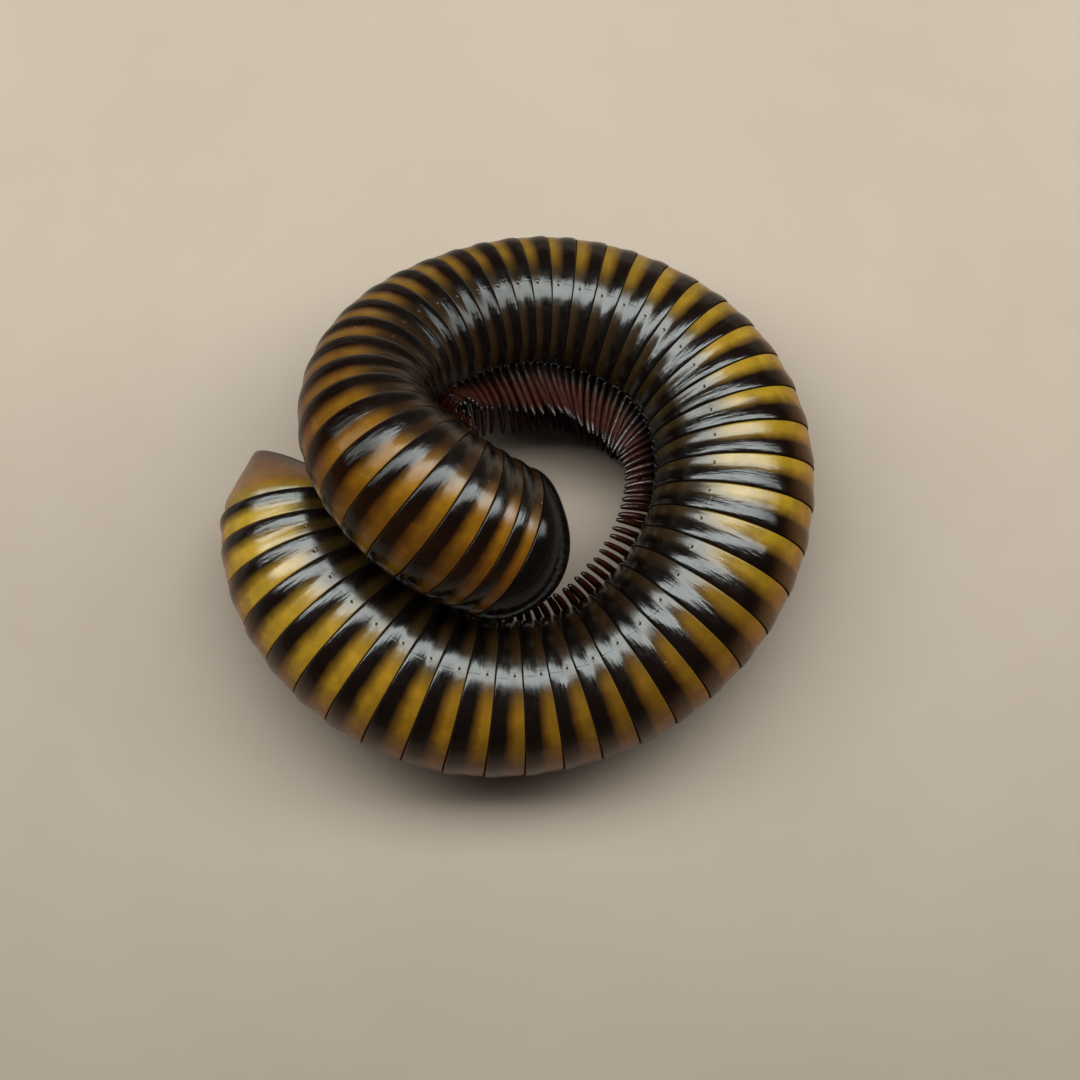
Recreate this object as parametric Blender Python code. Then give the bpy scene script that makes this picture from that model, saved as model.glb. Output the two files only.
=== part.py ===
"""A giant millipede, Pelmatojulus ligulatus, coiled up on the floor, life size.

Lengths are in metres, the floor is z = 0 and +Z is up. Rings are numbered from the tail (0) to the
collum (52), and a place along the body is such a ring number, with a fraction.
"""

import math

import bpy
import numpy as np
from mathutils import Matrix, Vector

MM = 0.001
GAP = 0.3 * MM

# Driving sizes of the coil
# Each row: ring number, the place of the body's axis (x, y), its lift off the floor, the rim's radius, in mm.
BODY_STATIONS = (
    (0, -19.7, -1.0, 0.0, 6.90),
    (2, -18.7, -5.5, 0.0, 7.40),
    (4, -16.0, -9.9, 0.0, 7.78),
    (8, -7.4, -16.4, 0.0, 7.47),
    (12, 2.8, -17.3, 0.0, 6.81),
    (16, 12.3, -12.5, 0.0, 7.04),
    (20, 18.5, -2.9, 0.0, 7.30),
    (24, 18.5, 7.7, 0.0, 7.00),
    (28, 12.9, 15.0, 0.0, 6.51),
    (32, 4.4, 18.1, 0.28, 6.41),
    (36, -3.8, 16.9, 1.84, 6.30),
    (40, -10.9, 11.8, 5.88, 6.15),
    (43, -12.8, 6.3, 10.22, 6.00),
    (46, -11.0, 1.1, 12.25, 6.59),
    (49, -6.5, -3.1, 11.55, 7.03),
    (52, -1.4, -5.4, 9.3, 6.85),
)
RING_COUNT = 52
# Each row: ring number, and how far the back leans up out of the coil's plane, in degrees.
BACK_LEAN = ((0, 8), (14, 9), (20, 21), (24, 15), (28, 5), (34, -3), (40, 0), (44, 22), (48, 50), (52, 52))
# The first ring of each length of the trunk, counted from the tail.
LENGTH_STARTS = (0, 5, 10, 15, 20, 25, 30, 36, 42, 50)
FLOOR_PRESS = 0.12 * MM

# One ring of the trunk
SIDES = 18
RIM_END = 0.38
RIM_END_SCALE = 0.99
FRONT_SCALE = 0.93
FRONT_END = 0.96

# Legs
LEG_THICKNESS = 0.60 * MM
LEG_TIP_THICKNESS = 0.34 * MM
LEG_SIDES = 5
LEG_FACET_TURN = 0.13
LEG_ROOT_ANGLE = 9.0
LEG_ROOT_DEPTH = 0.84
# Each row: how far from the body's axis, as a share of its radius, then the shares of the reach and the swing
LEG_STEPS = ((LEG_ROOT_DEPTH, 0.0, 0.0), (1.0, 0.35, 0.45), (1.0, 0.75, 0.80), (1.0, 1.0, 1.0))
LEG_CURL = 1.6
# Where the legs stand on a ring, as parts of its length: two pairs, or one pair
LEG_PAIRS = (0.27, 0.73)
LEG_SINGLE_PAIR = (0.5,)
LEGLESS_TAIL_RINGS = 1
FRONT_RINGS_WITH_ONE_PAIR = 4
CROWDED_RINGS = (41, 50)
# Each row: ring number, how far the legs reach out from the belly in mm, and their swing to the side in degrees.
LEG_REACH = (
    (0, 1.6, 34),
    (6, 1.8, 34),
    (14, 1.9, 32),
    (18, 2.2, 22),
    (22, 2.6, 18),
    (25, 3.6, 17),
    (28, 5.2, 15),
    (35, 5.4, 15),
    (38, 3.8, 18),
    (41, 2.2, 18),
    (44, 1.5, 18),
    (50, 1.5, 20),
    (52, 1.3, 30),
)
# Each row: ring number, how far a leg's tip lies behind its root towards the tail, as a share of its reach
LEG_TRAIL = ((0, 0.33), (28, 0.33), (33, 0.28), (38, -0.40), (42, -0.50), (46, -0.10), (52, 0.10))

# Tail end: distance behind the last ring, shift towards the back, radius across, radius up and down, in mm
TELSON_PROFILE = (
    (0.8, 0.42, 6.25, 6.17),
    (1.7, 1.07, 5.60, 5.28),
    (2.6, 1.62, 4.70, 4.12),
    (3.5, 2.20, 3.60, 2.95),
    (4.4, 2.90, 2.40, 1.70),
    (5.2, 3.22, 1.40, 0.82),
    (5.9, 3.35, 0.50, 0.25),
)
VALVE_LENGTH = 8.1 * MM
VALVE_WIDTH = 3.1 * MM
VALVE_BULGE = 1.25 * MM
VALVE_PLACE = (3.49 * MM, -0.01 * MM)
VALVE_TILT = 35.0

# Collum: distance ahead of its rear edge, shift towards the belly, tilt in degrees, radius, in mm
COLLUM_PROFILE = (
    (0.0, 0.0, 0.0, 6.85),
    (0.6, 0.0, 2.0, 6.82),
    (1.45, 0.10, 8.0, 6.55),
    (2.2, 0.45, 18.0, 5.90),
    (2.75, 0.95, 30.0, 4.95),
    (3.0, 1.5, 40.0, 3.50),
)
# The opening under the collum, in mm: its middle, towards the belly, its radius, and its two ends along the body
THROAT_SHIFT = 5.5
THROAT_RADIUS = 5.0
THROAT_ENDS = (-2.0, 6.0)

# Head, in mm: forward of the collum's rear edge, then towards the belly
HEAD_CENTRE = (2.7, 3.9)
HEAD_TILT = 96.0
# Radii in mm across, out of the face and down the face, and places as across, out of the face and down
HEAD_RADII = (4.2, 2.65, 4.5)
HEAD_FACETS = (24, 12)
MUZZLE_FACETS = (20, 9)
SMALL_FACETS = (14, 8)
MUZZLE_CENTRE = (0.0, 0.3, 2.7)
MUZZLE_RADII = (2.9, 1.9, 2.6)
EYE_RADII = (0.55, 1.05, 0.85)
EYE_TURN = 58.0
EYE_RISE = 1.2
EYE_DEPTH = 0.93
MANDIBLE_CENTRE = (3.0, -0.6, 2.3)
MANDIBLE_RADII = (1.2, 1.05, 2.0)
CHIN_CENTRE = (0.0, -1.85, 1.6)
CHIN_RADII = (2.2, 0.75, 2.4)
ANTENNA_BASE = (1.75, 3.16, -0.5)
# How an antenna heads at its base and how it turns from one segment to the next: outward, out of the face, down
ANTENNA_HEADING = (0.10, 0.10, 0.87)
ANTENNA_TURN = (0.0, -0.15, 0.08)
# Length and radius of each segment, and the shares of its length and radius at its rings of points
ANTENNA_SEGMENTS = ((0.9, 0.42), (1.3, 0.45), (1.2, 0.44), (1.1, 0.45), (1.0, 0.46), (0.8, 0.40), (0.35, 0.25))
ANTENNA_CLUB = ((0.0, 0.62), (0.75, 1.0), (1.0, 0.75))
ANTENNA_SIDES = 8
ANTENNA_SPACING = 1.02

# Colour and roughness
RING_FINISH = ((0.16, 0.08, 0.03), 0.25)
TELSON_FINISH = ((0.32, 0.20, 0.05), 0.25)
VALVE_FINISH = ((0.30, 0.19, 0.13), 0.30)
HEAD_FINISH = ((0.05, 0.03, 0.02), 0.20)
EYE_FINISH = ((0.01, 0.01, 0.012), 0.15)
MOUTH_FINISH = ((0.10, 0.04, 0.02), 0.30)
ANTENNA_FINISH = ((0.20, 0.07, 0.03), 0.30)


def clear_scene():
    for piece in list(bpy.data.objects):
        bpy.data.objects.remove(piece, do_unlink=True)


def natural_spline(knots, values):
    """The cubic curve through values at knots, as a function of the place along it."""
    knots = np.asarray(knots, float)
    values = np.asarray(values, float)
    steps = np.diff(knots)
    count = len(knots)
    system = np.eye(count)
    target = np.zeros_like(values)
    for i in range(1, count - 1):
        system[i, i - 1] = steps[i - 1]
        system[i, i] = 2 * (steps[i - 1] + steps[i])
        system[i, i + 1] = steps[i]
        target[i] = 6 * ((values[i + 1] - values[i]) / steps[i] - (values[i] - values[i - 1]) / steps[i - 1])
    bend = np.linalg.solve(system, target)

    def at(place):
        i = int(np.clip(np.searchsorted(knots, place) - 1, 0, count - 2))
        step = steps[i]
        after = place - knots[i]
        before = knots[i + 1] - place
        return (
            bend[i] * before**3 / (6 * step)
            + bend[i + 1] * after**3 / (6 * step)
            + (values[i] / step - bend[i] * step / 6) * before
            + (values[i + 1] / step - bend[i + 1] * step / 6) * after
        )

    return at


STATION_RINGS = [row[0] for row in BODY_STATIONS]
PATH = natural_spline(STATION_RINGS, [[value * MM for value in row[1:4]] for row in BODY_STATIONS])
RADIUS = natural_spline(STATION_RINGS, [[row[4] * MM] for row in BODY_STATIONS])


def axis_point(place):
    """The body's axis at a ring number: where it isn't lifted, the lowest facets press on the floor."""
    x, y, lift = PATH(place)
    rest = float(RADIUS(place)[0]) * math.cos(math.pi / SIDES) - FLOOR_PRESS
    return Vector((x, y, rest + max(lift, 0.0)))


def table_value(table, place, column=1):
    return float(np.interp(place, [row[0] for row in table], [row[column] for row in table]))


class Frame:
    """A place on the body's axis with its directions: ahead, out of the coil, up, back and left side."""

    def __init__(self, place):
        probe = 0.02
        low = max(place - probe, 0.0)
        high = min(place + probe, float(RING_COUNT))
        self.origin = axis_point(place)
        self.ahead = (axis_point(high) - axis_point(low)).normalized()
        self.out = self.ahead.cross(Vector((0, 0, 1))).normalized()
        self.up = self.out.cross(self.ahead).normalized()
        self.radius = float(RADIUS(place)[0])
        lean = math.radians(table_value(BACK_LEAN, place))
        self.back = self.out * math.cos(lean) + self.up * math.sin(lean)
        self.side = self.back.cross(self.ahead).normalized()


def section(frame, scale, shift=0.0):
    """One ring of points round the axis, its lowest facet level with the floor."""
    points = []
    for i in range(SIDES):
        angle = 2 * math.pi * (i + 0.5) / SIDES
        direction = frame.up * math.cos(angle) + frame.out * math.sin(angle)
        point = frame.origin + frame.ahead * shift + direction * (frame.radius * scale)
        point.z = max(point.z, 0.0)
        points.append(point)
    return points


def loft(name, rings, tip=None):
    """A closed mesh through rings of points, with flat ends or a point at the last end."""
    points = [point for ring in rings for point in ring]
    size = len(rings[0])
    faces = []
    for level in range(len(rings) - 1):
        for i in range(size):
            j = (i + 1) % size
            low = level * size
            high = low + size
            faces.append((low + i, low + j, high + j, high + i))
    faces.append(tuple(reversed(range(size))))
    last = (len(rings) - 1) * size
    if tip is None:
        faces.append(tuple(range(last, last + size)))
    else:
        points.append(tip)
        for i in range(size):
            faces.append((last + i, last + (i + 1) % size, len(points) - 1))
    return new_mesh(name, points, faces)


def new_mesh(name, points, faces):
    mesh = bpy.data.meshes.new(name)
    mesh.from_pydata([tuple(point) for point in points], [], faces)
    mesh.update()
    piece = bpy.data.objects.new(name, mesh)
    bpy.context.scene.collection.objects.link(piece)
    turn_faces_outward(piece)
    return piece


def turn_faces_outward(piece):
    """Reverses all the faces of a closed mesh whose volume comes out negative."""
    volume = 0.0
    for face in piece.data.polygons:
        corners = [piece.data.vertices[i].co for i in face.vertices]
        for second, third in zip(corners[1:-1], corners[2:]):
            volume += corners[0].dot(second.cross(third))
    if volume < 0:
        piece.data.flip_normals()


def ellipsoid(name, centre, axes, radii, around=16, along=8):
    """A closed egg shape with its poles on the last axis."""
    points = []
    for level in range(1, along):
        polar = math.pi * level / along
        for i in range(around):
            angle = 2 * math.pi * i / around
            local = (math.sin(polar) * math.cos(angle), math.sin(polar) * math.sin(angle), math.cos(polar))
            points.append(centre + sum((axes[n] * radii[n] * local[n] for n in range(3)), Vector()))
    top = len(points)
    points.append(centre + axes[2] * radii[2])
    points.append(centre - axes[2] * radii[2])
    faces = []
    for level in range(along - 2):
        for i in range(around):
            j = (i + 1) % around
            low = level * around
            faces.append((low + i, low + around + i, low + around + j, low + j))
    last = (along - 2) * around
    for i in range(around):
        j = (i + 1) % around
        faces.append((top, i, j))
        faces.append((top + 1, last + j, last + i))
    return new_mesh(name, points, faces)


def boolean(target, pieces, operation):
    """Joins pieces to a target, or cuts them out of it, in one step, and removes them."""
    group = bpy.data.collections.new(target.name + "_parts")
    bpy.context.scene.collection.children.link(group)
    for piece in pieces:
        bpy.context.scene.collection.objects.unlink(piece)
        group.objects.link(piece)
    step = target.modifiers.new("Join", "BOOLEAN")
    step.operation = operation
    step.solver = "EXACT"
    step.operand_type = "COLLECTION"
    step.collection = group
    graph = bpy.context.evaluated_depsgraph_get()
    result = bpy.data.meshes.new_from_object(target.evaluated_get(graph))
    target.modifiers.remove(step)
    old = target.data
    target.data = result
    bpy.data.meshes.remove(old)
    for piece in list(group.objects):
        bpy.data.objects.remove(piece, do_unlink=True)
    bpy.data.collections.remove(group)
    keep_largest_surface(target)


def keep_largest_surface(piece):
    """Removes every loose surface but the largest from a mesh."""
    mesh = piece.data
    parent = list(range(len(mesh.vertices)))

    def root(i):
        while parent[i] != i:
            parent[i] = parent[parent[i]]
            i = parent[i]
        return i

    for edge in mesh.edges:
        first, second = (root(i) for i in edge.vertices)
        parent[first] = second
    groups = {}
    for face in mesh.polygons:
        groups.setdefault(root(face.vertices[0]), []).append(face)
    largest = max(groups.values(), key=len)
    points = []
    index = {}
    faces = []
    for face in largest:
        corners = []
        for i in face.vertices:
            if i not in index:
                index[i] = len(points)
                points.append(tuple(mesh.vertices[i].co))
            corners.append(index[i])
        faces.append(corners)
    fresh = bpy.data.meshes.new(piece.name)
    fresh.from_pydata(points, [], faces)
    fresh.update()
    piece.data = fresh
    bpy.data.meshes.remove(mesh)


def set_material(piece, colour, roughness):
    material = bpy.data.materials.new(piece.name)
    material.use_nodes = True
    shader = material.node_tree.nodes["Principled BSDF"]
    shader.inputs["Base Color"].default_value = (*colour, 1.0)
    shader.inputs["Roughness"].default_value = roughness
    shader.inputs["Metallic"].default_value = 0.0
    piece.data.materials.clear()
    piece.data.materials.append(material)


def trunk_shell(name, first, after):
    """The rings from first up to the one before after, as one stepped tube."""
    rings = []
    for ring in range(first, after):
        rings.append(section(Frame(ring), 1.0))
        rings.append(section(Frame(ring + RIM_END), RIM_END_SCALE))
        if ring < after - 1:
            rings.append(section(Frame(ring + FRONT_END), FRONT_SCALE))
    rings.append(section(Frame(after), FRONT_SCALE, -GAP))
    return loft(name, rings)


def leg_path(frame, sign, reach, swing, trail_share):
    """Points down one leg, from inside the belly to the claw."""
    path = []
    for depth, reach_part, swing_part in LEG_STEPS:
        angle = math.radians(LEG_ROOT_ANGLE + (swing - LEG_ROOT_ANGLE) * swing_part)
        direction = frame.side * (sign * math.sin(angle)) - frame.back * math.cos(angle)
        trail = frame.ahead * (trail_share * reach * reach_part**LEG_CURL)
        path.append(frame.origin + direction * (frame.radius * depth + reach * reach_part) - trail)
    return path


def leg(name, frame, sign, reach, swing, trail_share):
    path = leg_path(frame, sign, reach, swing, trail_share)
    rings = []
    for i, centre in enumerate(path[:-1]):
        along = (path[i + 1] - path[max(i - 1, 0)]).normalized()
        across = along.cross(frame.ahead).normalized()
        width = LEG_THICKNESS + (LEG_TIP_THICKNESS - LEG_THICKNESS) * max(i - 1, 0)
        ring = []
        for n in range(LEG_SIDES):
            angle = 2 * math.pi * (n + LEG_FACET_TURN) / LEG_SIDES
            offset = frame.ahead * math.cos(angle) + across * math.sin(angle)
            ring.append(centre + offset * (width / 2))
        rings.append(ring)
    return loft(name, rings, path[-1])


def legs_of_length(first, after):
    """The legs of a length of the trunk: two pairs a ring, one pair behind the head."""
    legs = []
    for ring in range(first, after):
        if ring < LEGLESS_TAIL_RINGS:
            continue
        crowded = CROWDED_RINGS[0] <= ring < CROWDED_RINGS[1]
        single = crowded or ring >= RING_COUNT - FRONT_RINGS_WITH_ONE_PAIR
        for part in LEG_SINGLE_PAIR if single else LEG_PAIRS:
            place = ring + part
            frame = Frame(place)
            reach = table_value(LEG_REACH, place, 1) * MM
            swing = table_value(LEG_REACH, place, 2)
            trail_share = table_value(LEG_TRAIL, place)
            for sign in (-1, 1):
                legs.append(leg("leg", frame, sign, reach, swing, trail_share))
    return legs


def build_trunk():
    ends = LENGTH_STARTS[1:] + (RING_COUNT,)
    for number, (first, after) in enumerate(zip(LENGTH_STARTS, ends), 1):
        piece = trunk_shell(f"trunk_{number:02d}", first, after)
        boolean(piece, legs_of_length(first, after), "UNION")
        set_material(piece, *RING_FINISH)


def oval_section(centre, across, upright, half_width, half_height):
    points = []
    for i in range(SIDES):
        angle = 2 * math.pi * (i + 0.5) / SIDES
        points.append(centre + upright * (half_height * math.cos(angle)) + across * (half_width * math.sin(angle)))
    return points


def build_telson():
    frame = Frame(0)
    behind = -frame.ahead
    rings = [oval_section(frame.origin + behind * GAP, frame.side, frame.back,
                          frame.radius * FRONT_SCALE, frame.radius * FRONT_SCALE)]
    for distance, shift, half_width, half_height in TELSON_PROFILE:
        centre = frame.origin + behind * (distance * MM) + frame.back * (shift * MM)
        rings.append(oval_section(centre, frame.side, frame.back, half_width * MM, half_height * MM))
    telson = loft("telson", rings)
    tilt = math.radians(VALVE_TILT)
    along = frame.back * math.cos(tilt) + behind * math.sin(tilt)
    outward = behind * math.cos(tilt) - frame.back * math.sin(tilt)
    distance, shift = VALVE_PLACE
    cutters = []
    for name, sign in (("valve_left", 1), ("valve_right", -1)):
        half_width = VALVE_WIDTH / 2
        centre = frame.origin + behind * distance + frame.back * shift
        centre = centre + frame.side * (sign * (half_width + GAP / 2))
        axes = (frame.side, outward, along)
        radii = (half_width, VALVE_BULGE, VALVE_LENGTH / 2)
        valve = ellipsoid(name, centre, axes, radii)
        set_material(valve, *VALVE_FINISH)
        cutters.append(ellipsoid("cut", centre, axes, [radius + GAP for radius in radii]))
    boolean(telson, cutters, "DIFFERENCE")
    set_material(telson, *TELSON_FINISH)


def neck_frame():
    """The frame at the collum's rear edge, its belly direction taken from the body's last bend."""
    frame = Frame(RING_COUNT)
    frame.belly = -frame.back
    return frame


def build_collum(neck, head_cutters):
    """The shield behind the head, open towards the belly, where it lies over the head."""
    rings = []
    for distance, shift, tilt, radius in COLLUM_PROFILE:
        angle = math.radians(tilt)
        centre = neck.origin + neck.ahead * (distance * MM) + neck.belly * (shift * MM)
        upright = neck.back * math.cos(angle) + neck.ahead * math.sin(angle)
        rings.append(oval_section(centre, neck.side, upright, radius * MM, radius * MM))
    collum = loft("collum", rings)
    middle = neck.origin + neck.belly * (THROAT_SHIFT * MM)
    radius = THROAT_RADIUS * MM
    throat = [oval_section(middle + neck.ahead * (distance * MM), neck.side, neck.back, radius, radius)
              for distance in THROAT_ENDS]
    boolean(collum, [loft("throat", throat)] + head_cutters, "DIFFERENCE")
    set_material(collum, *HEAD_FINISH)


def head_axes(neck):
    """Directions of the head: across, out of the face, and down the face."""
    angle = math.radians(HEAD_TILT)
    down = neck.ahead * math.cos(angle) + neck.belly * math.sin(angle)
    face = neck.ahead * math.sin(angle) - neck.belly * math.cos(angle)
    return neck.side, face, down


def head_point(neck, across, forward, down):
    side, face, fall = head_axes(neck)
    centre = neck.origin + neck.ahead * (HEAD_CENTRE[0] * MM) + neck.belly * (HEAD_CENTRE[1] * MM)
    return centre + side * (across * MM) + face * (forward * MM) + fall * (down * MM)


def head_egg(name, neck, place, radii, growth=0.0, around=16, along=8):
    """An egg shape set in the head's directions, its sizes in mm, grown all round by growth."""
    grown = [value * MM + growth for value in radii]
    return ellipsoid(name, head_point(neck, *place), head_axes(neck), grown, around, along)


def mirrored(place, sign):
    return (sign * place[0], place[1], place[2])


def build_head():
    neck = neck_frame()
    axes = head_axes(neck)
    head = head_egg("head", neck, (0, 0, 0), HEAD_RADII, 0.0, *HEAD_FACETS)
    boolean(head, [head_egg("muzzle", neck, MUZZLE_CENTRE, MUZZLE_RADII, 0.0, *MUZZLE_FACETS)], "UNION")
    cutters = []
    collum_cutters = [head_egg("cut", neck, (0, 0, 0), HEAD_RADII, GAP, *HEAD_FACETS)]
    for name, sign in (("left", 1), ("right", -1)):
        turn = math.radians(EYE_TURN)
        out = (axes[0] * (sign * math.sin(turn)) + axes[1] * math.cos(turn)).normalized()
        along = axes[2].cross(out).normalized()
        centre = head_point(neck, sign * HEAD_RADII[0] * math.sin(turn) * EYE_DEPTH,
                            HEAD_RADII[1] * math.cos(turn) * EYE_DEPTH, -EYE_RISE)
        eye_axes = (out, along, axes[2])
        radii = [value * MM for value in EYE_RADII]
        eye = ellipsoid("eye_" + name, centre, eye_axes, radii, *SMALL_FACETS)
        set_material(eye, *EYE_FINISH)
        cutters.append(ellipsoid("cut", centre, eye_axes, [radius + GAP for radius in radii], *SMALL_FACETS))
        cheek = mirrored(MANDIBLE_CENTRE, sign)
        mandible = head_egg("mandible_" + name, neck, cheek, MANDIBLE_RADII, 0.0, *SMALL_FACETS)
        set_material(mandible, *MOUTH_FINISH)
        cutters.append(head_egg("cut", neck, cheek, MANDIBLE_RADII, GAP, *SMALL_FACETS))
        collum_cutters.append(head_egg("cut", neck, cheek, MANDIBLE_RADII, GAP, *SMALL_FACETS))
        build_antenna("antenna_" + name, neck, sign)
    chin = head_egg("chin", neck, CHIN_CENTRE, CHIN_RADII)
    boolean(chin, [head_egg("cut", neck, mirrored(MANDIBLE_CENTRE, sign), MANDIBLE_RADII, GAP, *SMALL_FACETS)
                   for sign in (1, -1)], "DIFFERENCE")
    set_material(chin, *MOUTH_FINISH)
    cutters.append(head_egg("cut", neck, CHIN_CENTRE, CHIN_RADII, GAP))
    boolean(head, cutters, "DIFFERENCE")
    set_material(head, *HEAD_FINISH)
    build_collum(neck, collum_cutters)


def head_direction(axes, parts, sign):
    """A direction given outward, out of the face and down, on the left (1) or right (-1) side."""
    return axes[0] * (sign * parts[0]) + axes[1] * parts[1] + axes[2] * parts[2]


def build_antenna(name, neck, sign):
    """A row of seven club-shaped segments from the face, bent down and in under the mouth."""
    axes = head_axes(neck)
    face = axes[1]
    base = head_point(neck, *mirrored(ANTENNA_BASE, sign))
    heading = head_direction(axes, ANTENNA_HEADING, sign).normalized()
    rings = []
    place = base
    for length, radius in ANTENNA_SEGMENTS:
        across = heading.cross(face).normalized()
        other = heading.cross(across).normalized()
        for part, scale in ANTENNA_CLUB:
            centre = place + heading * (length * MM * part)
            rings.append([centre + (across * math.cos(turn) + other * math.sin(turn)) * (radius * MM * scale)
                          for turn in (2 * math.pi * n / ANTENNA_SIDES for n in range(ANTENNA_SIDES))])
        place = place + heading * (length * MM * ANTENNA_SPACING)
        heading = (heading + head_direction(axes, ANTENNA_TURN, sign)).normalized()
    antenna = loft(name, rings)
    set_material(antenna, *ANTENNA_FINISH)


def build():
    clear_scene()
    build_trunk()
    build_telson()
    build_head()


build()
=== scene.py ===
"""The looks of a giant millipede, Pelmatojulus ligulatus, coiled up on the floor, life size.

Lengths are in metres unless a name or a comment says mm. Rings are numbered from the tail (0) to the
collum (52), and a place along the body is such a ring number, with a fraction. An angle round the body
is counted from the middle of the back, 0, past the pores at 90, to the middle of the belly, 180.
"""

import math

import bpy
import numpy as np
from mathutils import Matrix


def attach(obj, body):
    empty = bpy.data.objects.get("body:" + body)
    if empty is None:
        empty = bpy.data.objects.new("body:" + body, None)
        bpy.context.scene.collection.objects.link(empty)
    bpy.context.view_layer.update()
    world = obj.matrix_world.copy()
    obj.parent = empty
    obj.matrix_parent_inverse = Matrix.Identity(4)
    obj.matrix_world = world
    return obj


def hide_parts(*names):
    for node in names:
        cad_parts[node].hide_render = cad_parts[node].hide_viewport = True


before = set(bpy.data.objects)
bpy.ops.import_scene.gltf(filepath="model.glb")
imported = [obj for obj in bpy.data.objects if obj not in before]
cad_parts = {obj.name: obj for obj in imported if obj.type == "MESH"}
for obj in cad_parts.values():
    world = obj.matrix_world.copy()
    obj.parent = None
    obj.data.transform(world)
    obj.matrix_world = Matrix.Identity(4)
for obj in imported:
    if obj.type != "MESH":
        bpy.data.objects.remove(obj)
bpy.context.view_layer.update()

MM = 0.001

# The coil, as the frame has it
# Each row: ring number, the place of the body's axis (x, y), its lift off the floor, the rim's radius, in mm
BODY_STATIONS = (
    (0, -19.7, -1.0, 0.0, 6.90), (2, -18.7, -5.5, 0.0, 7.40), (4, -16.0, -9.9, 0.0, 7.78),
    (8, -7.4, -16.4, 0.0, 7.47), (12, 2.8, -17.3, 0.0, 6.81), (16, 12.3, -12.5, 0.0, 7.04),
    (20, 18.5, -2.9, 0.0, 7.30), (24, 18.5, 7.7, 0.0, 7.00), (28, 12.9, 15.0, 0.0, 6.51),
    (32, 4.4, 18.1, 0.28, 6.41), (36, -3.8, 16.9, 1.84, 6.30), (40, -10.9, 11.8, 5.88, 6.15),
    (43, -12.8, 6.3, 10.22, 6.00), (46, -11.0, 1.1, 12.25, 6.59), (49, -6.5, -3.1, 11.55, 7.03),
    (52, -1.4, -5.4, 9.3, 6.85))
RING_COUNT = 52
# Each row: ring number, and how far the back leans up out of the coil's plane, in degrees
BACK_LEAN = ((0, 8), (14, 9), (20, 21), (24, 15), (28, 5), (34, -3), (40, 0), (44, 22), (48, 50), (52, 52))
LENGTH_STARTS = (0, 5, 10, 15, 20, 25, 30, 36, 42, 50)
SOLID_SIDES = 18
FLOOR_PRESS = 0.12 * MM
FLOOR_CLEARANCE = 0.01 * MM

# One ring of the trunk: part of the ring from its rear edge, share of the rim's radius
RING_OUTSIDE = (
    (0.000, 0.966), (0.004, 0.982), (0.012, 0.9925), (0.030, 0.9958), (0.060, 0.9984), (0.100, 1.0005),
    (0.140, 1.0016), (0.175, 1.0019), (0.220, 1.0013), (0.260, 1.0003), (0.300, 0.9988), (0.340, 0.9968),
    (0.380, 0.9944), (0.420, 0.9919), (0.460, 0.9893), (0.500, 0.9867), (0.530, 0.9850), (0.560, 0.9840),
    (0.590, 0.9837), (0.620, 0.9839), (0.650, 0.9841), (0.670, 0.9843), (0.690, 0.9844), (0.710, 0.9846),
    (0.730, 0.9847), (0.760, 0.9849), (0.800, 0.9850), (0.840, 0.9849), (0.880, 0.9846), (0.925, 0.9842),
    (0.955, 0.9838), (0.972, 0.9822), (0.984, 0.9765), (0.993, 0.9680), (1.000, 0.9625), (1.050, 0.9580))
RING_INSIDE = ((1.05, 0.935), (0.60, 0.930), (0.09, 0.930), (0.06, 0.961))
# Each row: the end of a stretch round the ring in degrees, and the step between points up to it
ROUND_STEPS = ((84, 3.0), (87, 1.0), (93, 0.25), (96, 1.0), (160, 1.6), (180, 2.0))
PORE_PLACE = 0.69
PORE_RADIUS = 0.075 * MM
PORE_RIM_RADIUS = 0.21 * MM
PORE_DEPTH = 0.07 * MM
PORE_RIM_HEIGHT = 0.008 * MM
PORE_FIRST_RING = 1
PORE_LAST_RING = 41
GROOVE_ANGLE = 88.2
GROOVE_HALF_WIDTH = 0.24
GROOVE_DEPTH = 0.010 * MM
STRIAE_FROM = 104.0
STRIAE_TO = 158.0
STRIAE_STEP = 6.0
STRIAE_DEPTH = 0.012 * MM
BELLY_HOLLOW = 0.16 * MM
BELLY_PLATE_LINE = 0.10 * MM
RING_RIPPLE = 0.012 * MM

# Legs: share of the length, half width at the start and at the end of each segment in mm
LEG_SEGMENTS = (
    (0.20, 0.43, 0.43), (0.20, 0.43, 0.42), (0.19, 0.42, 0.40), (0.13, 0.40, 0.37),
    (0.12, 0.37, 0.32), (0.12, 0.32, 0.20), (0.04, 0.10, 0.01))
LEG_ROOT_ANGLE = 9.0
# Down a leg: share of its length, and how far out of the axis it lies, as a share of the body's radius
LEG_DEPTH = ((0, 0.84), (0.22, 0.98), (1, 1.0))
LEG_SIDES = 14
LEG_FLATNESS = 0.86
LEGLESS_TAIL_RINGS = 1
FRONT_RINGS_WITH_ONE_PAIR = 4
CROWDED_RINGS = (41, 50)
# How a leg leaves the body: share of its length, share of its reach, share of its swing to the side
LEG_COURSE = ((0, 0, 0), (0.22, 0.05, 0.12), (0.5, 0.42, 0.52), (0.8, 0.80, 0.84), (1, 1.0, 1.0))
# Down one segment of a leg: share of its length, share of its width
LEG_SEGMENT_ROWS = ((0.01, 0.985), (0.07, 1.0), (0.30, 1.0), (0.70, 1.0), (0.93, 1.0), (0.99, 0.985))
LEG_PAIR_PLACES = (0.27, 0.73)
CROWDED_LEG_SIZE = 0.72
CROWDED_LEG_SPREAD = 14
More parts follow.
